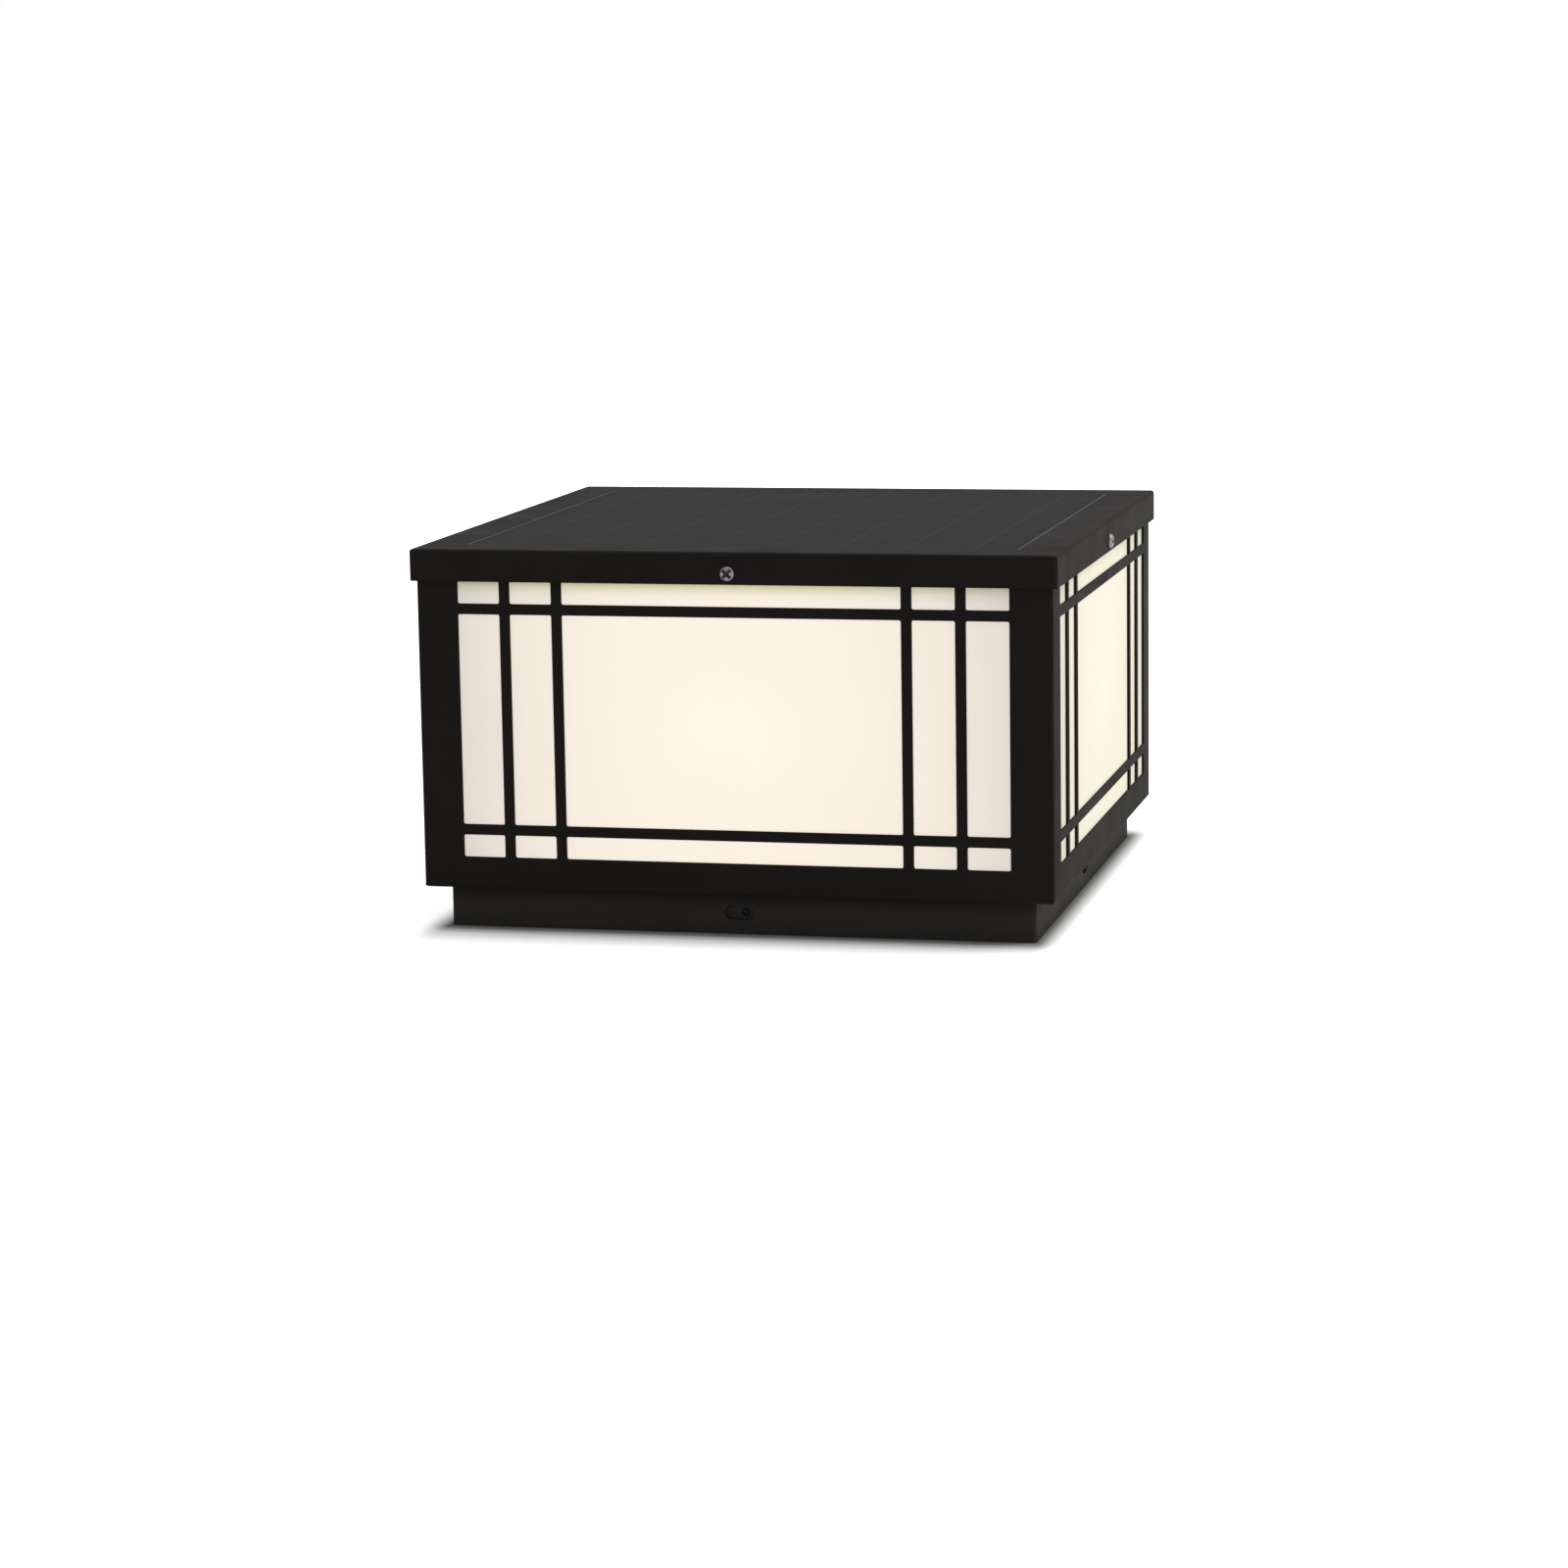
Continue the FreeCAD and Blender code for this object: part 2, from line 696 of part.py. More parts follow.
def solar_cells():
    """Thin dark cells in a grid, laid on the backboard."""
    z_low = pan_floor + sealant_bed + backboard_thickness
    pitch_x = (cell_field_width + cell_gap) / cell_columns
    pitch_y = (cell_field_width + cell_gap) / cell_rows
    cells = []
    for column in range(cell_columns):
        for row in range(cell_rows):
            x = -cell_field_width / 2 + column * pitch_x
            y = -cell_field_width / 2 + row * pitch_y
            cells.append(block(x, x + pitch_x - cell_gap, y, y + pitch_y - cell_gap,
                               z_low, z_low + cell_thickness))
    return cells


def solar_front_sheet():
    top = overall_height - panel_set_down
    return square_plate(panel_edge, top - front_sheet_thickness, top, panel_corner_radius)


def lead_grommet():
    flange_radius = grommet_hole_diameter / 2 + grommet_flange_reach
    flange = post(flange_radius, 0, 0, pan_floor, pan_floor + grommet_flange_thickness)
    neck = post(grommet_hole_diameter / 2, 0, 0, pan_under - box_wall, pan_floor)
    bore = post(grommet_bore_diameter / 2, 0, 0, pan_under - box_wall - overrun,
                pan_floor + grommet_flange_thickness + overrun)
    return flange.fuse(neck).cut(bore)


def panel_leads():
    half = panel_lead_spacing / 2
    return [post(lead_diameter / 2, x, 0, board_top, pan_floor + sealant_bed) for x in (-half, half)]


def battery_box():
    """A moulded box, open below, with four ears, four screw posts and four board posts."""
    shell = square_plate(box_half, box_bottom, pan_under, box_corner_radius)
    room = square_plate(box_half - box_wall, box_bottom - overrun, pan_under - box_wall,
                        box_corner_radius - box_wall)
    box = shell.cut(room)
    reach = box_half + box_ear_reach
    ear = block(-box_ear_width / 2, box_ear_width / 2, -reach, -box_half + box_wall,
                pan_under - box_ear_thickness, pan_under)
    tips = [edge for edge in ear.Edges if runs_along(edge, up)
            and edge.Vertexes[0].Point.y < -box_half]
    ear = ear.makeFillet(box_ear_width / 3, tips)
    corner_post = post(box_corner_radius - box_wall, 0, 0, box_bottom, pan_under - box_wall)
    corner_posts = at_four_corners(corner_post, box_half - box_corner_radius)
    board_posts = []
    for x, y in board_screw_places():
        board_posts.append(post(board_post_diameter / 2, x, y, board_top, pan_under - box_wall))
    box = box.fuse(on_four_sides(ear) + corner_posts + board_posts).removeSplitter()
    screw_hole = post(box_screw_diameter / 2, 0, 0, box_bottom - overrun,
                      box_bottom + box_screw_length)
    stud_hole = post(box_stud_diameter / 2 + screw_hole_clearance, 0, -reach + box_stud_inset,
                     pan_under - box_ear_thickness - overrun, pan_under + overrun)
    lead_hole = post(grommet_hole_diameter / 2, 0, 0, pan_under - box_wall - overrun, pan_under + overrun)
    pilots = [post(board_screw_diameter / 2, x, y, board_top - overrun, board_top + board_screw_length)
              for x, y in board_screw_places()]
    cutters = at_four_corners(screw_hole, box_half - box_corner_radius)
    return box.cut(cutters + on_four_sides(stud_hole) + [lead_hole] + pilots)


def box_studs():
    y = -box_half - box_ear_reach + box_stud_inset
    return on_four_sides(post(box_stud_diameter / 2, 0, y, pan_under - box_stud_length, pan_under))


def box_nuts():
    y = -box_half - box_ear_reach + box_stud_inset
    top = pan_under - box_ear_thickness
    nut = hexagon(nut_across_flats, top - nut_height, top, 0, y)
    bore = post(box_stud_diameter / 2, 0, y, top - nut_height - overrun, top + overrun)
    return on_four_sides(nut.cut(bore))


def box_seal():
    outer = square_plate(box_half, cover_top, box_bottom, box_corner_radius)
    inner = square_plate(box_half - box_wall, cover_top - overrun, box_bottom + overrun,
                         box_corner_radius - box_wall)
    return outer.cut(inner)


def box_cover():
    """The cover under the battery box, with a locating lip and the way for the leads."""
    plate = square_plate(box_half, cover_bottom, cover_top, box_corner_radius)
    lip_half = box_half - box_wall - box_lip_clearance
    lip_top = box_bottom + box_cover_lip
    lip_radius = box_corner_radius - box_wall - box_lip_clearance
    lip = square_plate(lip_half, cover_top, lip_top, lip_radius)
    lip_room = square_plate(lip_half - box_cover_lip_wall, cover_top - overrun, lip_top + overrun,
                            lip_radius - box_cover_lip_wall)
    post_way = post(box_corner_radius - box_wall + box_lip_clearance, 0, 0, cover_top, lip_top + overrun)
    post_ways = at_four_corners(post_way, box_half - box_corner_radius)
    cover = plate.fuse(lip.cut([lip_room] + post_ways)).removeSplitter()
    hole = post(box_screw_diameter / 2, 0, 0, cover_bottom - overrun, cover_top + overrun)
    corner_holes = at_four_corners(hole, box_half - box_corner_radius)
    core_holes = at_four_corners(hole, core_screw_spacing / 2)
    lead_way = post(lead_way_diameter / 2, 0, 0, cover_bottom - overrun, cover_top + overrun)
    return cover.cut(corner_holes + core_holes + [lead_way])


def cover_screws():
    screw = hanging_screw(box_screw_diameter / 2, box_screw_length, box_screw_head_diameter / 2,
                          box_screw_head_height, cover_bottom)
    return at_four_corners(screw, box_half - box_corner_radius)


def cell_places():
    return [-outer_cell_place, -inner_cell_place, inner_cell_place, outer_cell_place]


def battery_cells():
    return [pin(cell_diameter / 2, -cell_length / 2, y, cell_axis_height, along, cell_length)
            for y in cell_places()]


def cell_cradle():
    """The moulded trough block that carries the four cells on the cover."""
    half_length = cell_length / 2 + contact_thickness + cradle_end_wall
    cradle = block(-half_length, half_length, -cradle_half_width, cradle_half_width,
                   cover_top, cell_axis_height)
    room = cell_length / 2 + contact_thickness
    radius = cell_diameter / 2 + cradle_fit
    troughs = [pin(radius, -room, y, cell_axis_height, along, 2 * room) for y in cell_places()]
    lead_way = block(-switch_lead_spacing, switch_lead_spacing, -lead_diameter, lead_diameter,
                     cover_top - overrun, cell_axis_height + overrun)
    return cradle.cut(troughs + [lead_way])


def cell_contacts():
    contacts = []
    half = contact_width / 2
    for y in cell_places():
        for side in (-1, 1):
            near = side * cell_length / 2
            far = near + side * contact_thickness
            contacts.append(block(min(near, far), max(near, far), y - half, y + half,
                                  cell_axis_height - half, cell_axis_height + half))
    return contacts


def board_screw_places():
    x = board_length / 2 - board_post_inset
    y = board_width / 2 - board_post_inset
    return [(-x, -y), (-x, y), (x, -y), (x, y)]


def controller_board():
    plate = block(-board_length / 2, board_length / 2, -board_width / 2, board_width / 2,
                  board_bottom, board_top)
    holes = [post(board_screw_diameter / 2, x, y, board_bottom - overrun, board_top + overrun)
             for x, y in board_screw_places()]
    return plate.cut(holes)


def board_screws():
    screws = []
    for x, y in board_screw_places():
        screw = hanging_screw(board_screw_diameter / 2, board_screw_length,
                              board_screw_head_diameter / 2, board_screw_head_height, board_bottom)
        screw.translate(FreeCAD.Vector(x, y, 0))
        screws.append(screw)
    return screws


def controller_parts():
    """A choke, two capacitors and a terminal block under the controller board."""
    reach = board_length / 4
    choke = post(choke_diameter / 2, -reach, 0, board_bottom - choke_height, board_bottom)
    capacitors = [post(capacitor_diameter / 2, reach, y, board_bottom - capacitor_height, board_bottom)
                  for y in (-capacitor_diameter, capacitor_diameter)]
    terminal = block(-terminal_length / 2, terminal_length / 2,
                     board_width / 2 - terminal_width, board_width / 2,
                     board_bottom - terminal_height, board_bottom)
    return [choke, terminal] + capacitors


def lamp_core():
    """A square aluminium tube with a flange, which carries and cools the light boards."""
    flange = square_plate(core_flange_width / 2, core_flange_bottom, cover_bottom, corner_outer_radius)
    tube = square_plate(core_width / 2, core_bottom, core_flange_bottom, corner_outer_radius)
    bore = square_plate(core_width / 2 - core_wall, core_bottom - overrun, cover_bottom + overrun,
                        corner_inner_radius)
    hole = post(box_screw_diameter / 2, 0, 0, core_flange_bottom - overrun, cover_bottom + overrun)
    holes = at_four_corners(hole, core_screw_spacing / 2)
    pilots = [pin(board_screw_diameter / 2, 0, -core_width / 2 - overrun, z, inward,
                  core_wall + 2 * overrun) for z in light_board_screw_heights()]
    pilots = [copy for pilot in pilots for copy in on_four_sides(pilot)]
    return flange.fuse(tube).cut([bore] + holes + pilots)


def core_screws():
    screw = hanging_screw(box_screw_diameter / 2, core_screw_length, box_screw_head_diameter / 2,
                          box_screw_head_height, core_flange_bottom)
    return at_four_corners(screw, core_screw_spacing / 2)


def light_board_screw_heights():
    return [core_middle - light_board_screw_reach, core_middle + light_board_screw_reach]


def light_boards():
    half = light_board_width / 2
    face = -core_width / 2
    board = block(-half, half, face - light_board_thickness, face,
                  core_middle - light_board_height / 2, core_middle + light_board_height / 2)
    holes = [pin(board_screw_diameter / 2, 0, face - light_board_thickness - overrun, z, inward,
                 light_board_thickness + 2 * overrun) for z in light_board_screw_heights()]
    return on_four_sides(board.cut(holes))


def light_board_screws():
    face = -core_width / 2 - light_board_thickness
    screws = []
    for z in light_board_screw_heights():
        head = pin(board_screw_head_diameter / 2, 0, face - board_screw_head_height, z, inward,
                   board_screw_head_height)
        shank = pin(board_screw_diameter / 2, 0, face, z, inward, light_board_thickness + core_wall)
        screws.extend(on_four_sides(head.fuse(shank)))
    return screws


def light_chips():
    face = -core_width / 2 - light_board_thickness
    chips = []
    for column in range(light_chip_columns):
        for row in range(light_chip_rows):
            x = light_chip_reach_x * (2 * column / (light_chip_columns - 1) - 1)
            z = core_middle + light_chip_reach_z * (2 * row / (light_chip_rows - 1) - 1)
            chip = block(x - light_chip_width / 2, x + light_chip_width / 2,
                         face - light_chip_thickness, face,
                         z - light_chip_height / 2, z + light_chip_height / 2)
            chips.extend(on_four_sides(chip))
    return chips


def core_cap():
    """The moulded cap that plugs the bottom of the core and holds the switch."""
    plate = square_plate(core_width / 2, cap_bottom, core_bottom, corner_outer_radius)
    lip_half = core_width / 2 - core_wall - core_cap_clearance
    lip = square_plate(lip_half, core_bottom, core_bottom + core_cap_lip_height, corner_inner_radius)
    lip_room = square_plate(lip_half - core_cap_lip_wall, core_bottom - overrun,
                            core_bottom + core_cap_lip_height + overrun, corner_inner_radius)
    hole = post(switch_hole_diameter / 2, 0, 0, cap_bottom - overrun, core_bottom + overrun)
    return plate.fuse(lip.cut(lip_room)).removeSplitter().cut(hole)


def switch_body():
    """The sealed bush of the push switch, with a bore for its button."""
    barrel = post(switch_hole_diameter / 2 - switch_clearance, 0, 0, cap_bottom,
                  cap_bottom + switch_body_height)
    flange_radius = switch_hole_diameter / 2 + switch_flange_reach
    flange = post(flange_radius, 0, 0, switch_flange_bottom, cap_bottom)
    bore_radius = button_diameter / 2 + button_bore_clearance
    bore_top = switch_flange_bottom + button_depth + button_travel + button_bore_spare
    bore = post(bore_radius, 0, 0, switch_flange_bottom - overrun, bore_top)
    return barrel.fuse(flange).cut(bore)


def switch_nut():
    across_flats = switch_hole_diameter + 2 * switch_nut_wall
    nut = hexagon(across_flats, core_bottom, core_bottom + switch_nut_height, 0, 0)
    bore = post(switch_hole_diameter / 2 - switch_clearance, 0, 0, core_bottom - overrun,
                core_bottom + switch_nut_height + overrun)
    return nut.cut(bore)


def switch_button():
    low = switch_flange_bottom - button_proud
    plunger = post(button_diameter / 2, 0, 0, low, switch_flange_bottom + button_depth)
    return plunger.makeFillet(button_edge_round, rims_at(plunger, up, low))


def switch_leads():
    """The two leads from the switch up to the controller board, between the cells."""
    half = switch_lead_spacing / 2
    return [post(lead_diameter / 2, x, 0, cap_bottom + switch_body_height, board_bottom)
            for x in (-half, half)]


def save(name, pieces):
    shape = Part.makeCompound(pieces) if isinstance(pieces, list) else pieces
    shape.exportStep(os.path.join("parts", name + ".step"))


def save_side(prefix, shape):
    """Saves the same piece on each of the four sides, under its side's name."""
    for quarter, side in enumerate(("front", "right", "back", "left")):
        save(prefix + "_" + side, turned(shape, quarter))


def save_corners(prefix, shape):
    corners = ("front_left", "front_right", "back_right", "back_left")
    for quarter, corner in enumerate(corners):
        save(prefix + "_" + corner, turned(shape, quarter))


os.makedirs("parts", exist_ok=True)

save("base_tray", base_tray())
save("tray_rivet_nuts", tray_rivet_nuts())
save("grub_screws", grub_screws())
save("plinth_collar", plinth_collar())
save("floor_pan", floor_pan())
save("floor_rivets", floor_rivets())
save_side("side_panel", front_panel())
save("panel_studs", panel_studs())
save("stud_nuts", stud_nuts())
save_side("diffuser", front_diffuser())
save_corners("corner_angle", corner_angle())

save("lid_tray", lid_tray())
save("lid_screws", lid_screws())
save("lid_spacers", lid_spacers())
save("lid_nuts", lid_nuts())
save("lid_gasket", lid_gasket())
save("panel_sealant", panel_sealant())
save("solar_backboard", solar_backboard())
save("solar_cells", solar_cells())
save("solar_front_sheet", solar_front_sheet())
save("lead_grommet", lead_grommet())
save("panel_leads", panel_leads())

save("battery_box", battery_box())
save("box_studs", box_studs())
save("box_nuts", box_nuts())
save("box_seal", box_seal())
save("box_cover", box_cover())
save("cover_screws", cover_screws())
save("battery_cells", battery_cells())
save("cell_cradle", cell_cradle())
save("cell_contacts", cell_contacts())
save("controller_board", controller_board())
save("board_screws", board_screws())
save("controller_parts", controller_parts())

save("lamp_core", lamp_core())
save("core_screws", core_screws())
save("light_boards", light_boards())
save("light_board_screws", light_board_screws())
save("light_chips", light_chips())
save("core_cap", core_cap())
save("switch_body", switch_body())
save("switch_nut", switch_nut())
save("switch_button", switch_button())
save("switch_leads", switch_leads())
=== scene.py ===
import json
from math import cos, pi, radians, sin, tan
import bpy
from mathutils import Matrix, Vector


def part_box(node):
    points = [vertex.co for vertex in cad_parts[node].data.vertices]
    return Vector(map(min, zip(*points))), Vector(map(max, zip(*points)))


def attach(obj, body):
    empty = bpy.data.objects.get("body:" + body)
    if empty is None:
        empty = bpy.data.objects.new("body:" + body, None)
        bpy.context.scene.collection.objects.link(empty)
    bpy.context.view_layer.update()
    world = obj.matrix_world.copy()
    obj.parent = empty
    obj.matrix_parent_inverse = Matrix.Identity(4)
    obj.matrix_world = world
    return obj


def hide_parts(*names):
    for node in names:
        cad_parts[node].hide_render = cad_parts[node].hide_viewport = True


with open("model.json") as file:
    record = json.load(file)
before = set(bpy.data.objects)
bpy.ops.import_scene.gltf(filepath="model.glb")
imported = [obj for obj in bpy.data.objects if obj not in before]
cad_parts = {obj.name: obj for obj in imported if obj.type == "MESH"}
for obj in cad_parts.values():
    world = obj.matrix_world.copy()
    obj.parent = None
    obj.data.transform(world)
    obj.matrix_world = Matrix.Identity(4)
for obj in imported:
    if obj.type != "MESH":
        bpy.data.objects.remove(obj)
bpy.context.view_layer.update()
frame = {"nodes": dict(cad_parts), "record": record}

from types import SimpleNamespace

import bpy
import numpy as np
from bpy.props import FloatProperty, FloatVectorProperty, IntProperty, PointerProperty
from bpy.types import Operator, Panel, PropertyGroup
from mathutils import Matrix, Vector

bl_info = {
    "name": "Solar Cube Light",
    "version": (1, 0, 0),
    "blender": (4, 5, 0),
    "location": "View3D > Sidebar > Cube Light",
    "description": "Surfaces and finishes of a square solar pillar light with lattice windows",
    "category": "Object",
}

SIDES = ("front", "right", "back", "left")
SLOT_OF = {part["node"]: part["material_slot"] for part in frame["record"]["subparts"]}
BODY_OF = {node: body for body, nodes in frame["record"]["behaviour"]["bodies"].items() for node in nodes}

LID_LOW, LID_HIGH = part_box("lid_tray")
PANEL_LOW, PANEL_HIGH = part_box("side_panel_front")
SHEET_LOW, SHEET_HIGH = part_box("diffuser_front")
GLASS_LOW, GLASS_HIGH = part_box("solar_front_sheet")
SCREW_LOW, SCREW_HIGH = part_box("lid_screws")
GRUB_LOW, GRUB_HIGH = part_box("grub_screws")
COLLAR_LOW, COLLAR_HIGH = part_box("plinth_collar")
SCREW_HEIGHT = (SCREW_LOW.z + SCREW_HIGH.z) / 2
SLOT_MIDDLE = (GRUB_LOW.z + GRUB_HIGH.z) / 2


# Settings

def length(name, description, default):
    """A length that can shrink to a fifth of its default."""
    return FloatProperty(name=name, description=description, default=default, min=default / 5,
                         unit="LENGTH")


def share(name, description, default):
    return FloatProperty(name=name, description=description, default=default, min=0.05, max=0.9,
                         subtype="FACTOR")


def angle(name, description, default):
    return FloatProperty(name=name, description=description, default=default, subtype="ANGLE")


def number(name, description, default):
    return IntProperty(name=name, description=description, default=default, min=1)


def colour(name, description, default):
    return FloatVectorProperty(name=name, description=description, default=default, min=0, max=1,
                               subtype="COLOR")


class CubeLightSizes(PropertyGroup):
    """Sizes that the visible surfaces share with the construction."""

    sheet: length("Sheet", "Thickness of the folded metal", 0.0012)
    bend: length("Bend", "Outer radius of a fold", 0.0016)
    inner_bend: length("Inner Bend", "Inner radius of a fold", 0.0004)
    corner: length("Corner", "Radius of the upright corners", 0.0020)
    edge: length("Edge", "Rounding that the coating gives a cut edge", 0.00022)
    soft_edge: length("Soft Edge", "Rounding of the opal sheets and the solar film", 0.0003)
    lattice_bar: length("Lattice Bar", "Width of a lattice bar", 0.005)
    side_gap: length("Side Gap", "Width of the narrow upright panes", 0.020)
    end_gap: length("End Gap", "Height of the top and bottom panes", 0.0105)
    window_width: length("Window Width", "Width of a side's window", 0.260)
    window_height: length("Window Height", "Height of a side's window", 0.130)
    window_sill: length("Window Sill", "Rail under the window", 0.015)
    top_flange: share("Top Flange", "Depth of a side's top flange as a share of the bottom one", 12 / 25)
    pane_corner: length("Pane Corner", "Radius in a pane's corners", 0.0008)
    notch_radius: length("Notch Radius", "Half the width of the screw notch", 0.0026)
    nut_way: length("Nut Way", "Half the width of the way for a nut", 0.00554)
    nut_drop: length("Nut Drop", "Depth of the nut's way in an opal sheet, below the screw", 0.0040)
    pan_width: length("Pan Width", "Width of the pan for the solar panel", 0.262)
    pan_corner: length("Pan Corner", "Corner radius of the pan", 0.003)
    pan_depth: length("Pan Depth", "Depth of the pan", 0.0034)
    lead_hole: length("Lead Hole", "Radius of the hole for the leads", 0.006)
    screw_head: length("Screw Head", "Radius of a lid screw's head", 0.0035)
    screw_head_height: length("Screw Head Height", "Height of a lid screw's head", 0.0022)
    screw_shank: length("Screw Shank", "Radius of a lid or set screw's shank", 0.0020)
    cross_reach: share("Cross Reach", "Reach of a cross recess as a share of the head", 0.74)
    cross_width: share("Cross Width", "Half the width of its arms as a share of the head", 0.20)
    cross_depth: share("Cross Depth", "Its depth as a share of the head's height", 0.78)
    slot_length: length("Slot Length", "Length of a slot in the plinth", 0.0145)
    slot_height: length("Slot Height", "Height of a slot in the plinth", 0.0065)
    plinth_flange: length("Plinth Flange", "Depth of the plinth's top flange", 0.020)
    thread_pitch: length("Thread Pitch", "Pitch of the studs' threads", 0.0006)
    cell_columns: number("Cell Columns", "Solar cells side by side", 4)
    cell_rows: number("Cell Rows", "Solar cells front to back", 9)
    cell_field: length("Cell Field", "Width of the field of cells", 0.250)
    cell_gap: length("Cell Gap", "Gap between two cells", 0.0015)


class CubeLightColours(PropertyGroup):
    """Colours of the finishes, as linear values."""

    black_coat: colour("Black Coat", "Powder coat of lid, sides and plinth", (0.0096, 0.0086, 0.0073))
    glow_middle: colour("Glow Middle", "Light of an opal sheet at its middle", (0.825, 0.745, 0.643))
    glow_edge: colour("Glow Edge", "Light of an opal sheet at its ends", (0.628, 0.560, 0.507))
    opal: colour("Opal", "Unlit opal sheet", (0.20, 0.19, 0.175))
    floor: colour("Floor", "Pale floor", (0.80, 0.80, 0.795))


class CubeLightStage(PropertyGroup):
    """Camera. Its place and turn were recovered from the photograph."""

    camera_place: FloatVectorProperty(name="Camera Place", description="Where the camera stands",
                                      default=(0.46518, -2.01767, 0.39296), subtype="XYZ", unit="LENGTH")
    camera_yaw: angle("Yaw", "Turn of the camera to the left", 0.2317)
    camera_pitch: angle("Pitch", "Tilt of the camera upwards", -0.1652)
    camera_roll: angle("Roll", "Roll of the camera", -0.0155)
    focal_pixels: number("Focal Length", "Focal length in pixels, for a picture of picture_pixels", 4320)
    picture_pixels: number("Picture Pixels", "Width of the square picture", 1600)
    sensor: number("Sensor", "Sensor width in millimetres", 36)


# Surfaces. A surface is its points, a list of blocks of faces, each an array with one face a row, and
# for some pieces a shade for each point, which their finish reads.

HOLD = 0.00025
ARC_STEPS = 7
SHARP_FOLD = radians(40)
SHARP_PIECE = radians(35)
PANE_BANDS = (0, 2, 4)


def unit(vectors):
    return vectors / np.linalg.norm(vectors, axis=-1, keepdims=True)


def full_turn(steps):
    return np.linspace(0, 2 * pi, steps, endpoint=False)


def quarter_arc(steps=ARC_STEPS):
    return np.linspace(0, pi / 2, steps)


def rounded_loop(corners, radii):
    """A polygon with rounded corners. Each corner gives an arc about the point that lies one radius
    from both of its sides, swept evenly from one tangent point to the other, with a point HOLD before
    and after it, so that the flats between two corners shade flat. Returns (corners x steps, 2)."""
    radii = radii[:, None]
    before = unit(np.roll(corners, 1, 0) - corners)
    after = unit(np.roll(corners, -1, 0) - corners)
    opening = np.arccos(np.clip((before * after).sum(1, keepdims=True), -1, 1))
    reach = radii / np.tan(opening / 2)
    centre = corners + unit(before + after) * radii / np.sin(opening / 2)
    start = (corners + before * reach - centre)[:, None]
    end = (corners + after * reach - centre)[:, None]
    sweep = (pi - opening)[:, None]
    along = np.linspace(0, 1, ARC_STEPS)[None, :, None]
    arc = (np.sin((1 - along) * sweep) * start + np.sin(along * sweep) * end) / np.sin(sweep)
    first = (corners + before * (reach + HOLD))[:, None]
    last = (corners + after * (reach + HOLD))[:, None]
    return np.concatenate([first, arc + centre[:, None], last], 1).reshape(-1, 2)


def square_rings(half, corner, level, lines=()):
    """Rounded squares about the Z axis. Ring i has half width half[i], corner radius corner[i] and height
    level[i]. Its first quarter is the corner's centre plus the radius turned through a right angle, with
    a point HOLD beyond each end, and then the given places along the side; the other three are that one
    turned. Returns (rings, points, 3)."""
    half, corner = half[:, None], corner[:, None]
    flat = half - corner
    hold = np.minimum(HOLD, flat / 2)
    along = np.broadcast_to(np.asarray(lines, float), (len(half), len(lines)))
    turn = quarter_arc()
    x = np.concatenate([half, flat + corner * np.cos(turn), flat - hold, along], 1)[:, None]
    y = np.concatenate([flat - hold, flat + corner * np.sin(turn), half, half + 0 * along], 1)[:, None]
    c = np.array([1, 0, -1, 0])[:, None]
    s = np.array([0, 1, 0, -1])[:, None]
    z = np.broadcast_to(level[:, None, None], (len(half), 4, x.shape[2]))
    return np.stack([c * x - s * y, s * x + c * y, z], -1).reshape(len(half), -1, 3)


def grid_faces(rows, columns, close_rows=False):
    """Quads between neighbours of a rows x columns grid of points, numbered row by row. The last column
    meets the first."""
    row = np.arange(rows if close_rows else rows - 1)[:, None]
    column = np.arange(columns)[None, :]
    next_row = (row + 1) % rows
    next_column = (column + 1) % columns
    corners = [row * columns + column, next_row * columns + column,
               next_row * columns + next_column, row * columns + next_column]
    return np.stack(corners, -1).reshape(-1, 4)


def tube(rings):
    """Rings whose last one meets the first, as a surface."""
    return rings.reshape(-1, 3), [grid_faces(*rings.shape[:2], close_rows=True)]


def closed_rings(rings):
    """Quads between neighbouring rings of a (rows, columns, 3) grid, and a fan of triangles to the middle
    of the first ring and of the last."""
    rows, columns = rings.shape[:2]
    points = np.concatenate([rings.reshape(-1, 3), rings[:1].mean(1), rings[-1:].mean(1)])
    step = np.arange(columns)
    after = (step + 1) % columns
    top = (rows - 1) * columns
    first_fan = np.stack([after, step, np.full(columns, rows * columns)], -1)
    last_fan = np.stack([top + step, top + after, np.full(columns, rows * columns + 1)], -1)
    return points, [grid_faces(rows, columns), first_fan, last_fan]


def around_axis(radius, level, turn):
    """Points at radii and levels of rows x columns, or rows x 1, turned about Z by the columns' angles."""
    x, y = radius * np.cos(turn), radius * np.sin(turn)
    return np.stack([x, y, level + np.zeros_like(x)], -1)


def signed_volume(points, blocks):
    """Sum of the tetrahedra from the origin to each face, split as a fan."""
    total = 0.0
    for block in blocks:
        first, second, third = points[block[:, :1]], points[block[:, 1:-1]], points[block[:, 2:]]
        total += (first * np.cross(second, third)).sum() / 6
    return total


def read_mesh(items, attribute, width=1, kind=np.int32):
    values = np.empty(len(items) * width, kind)
    items.foreach_get(attribute, values)
    return values if width == 1 else values.reshape(-1, width)


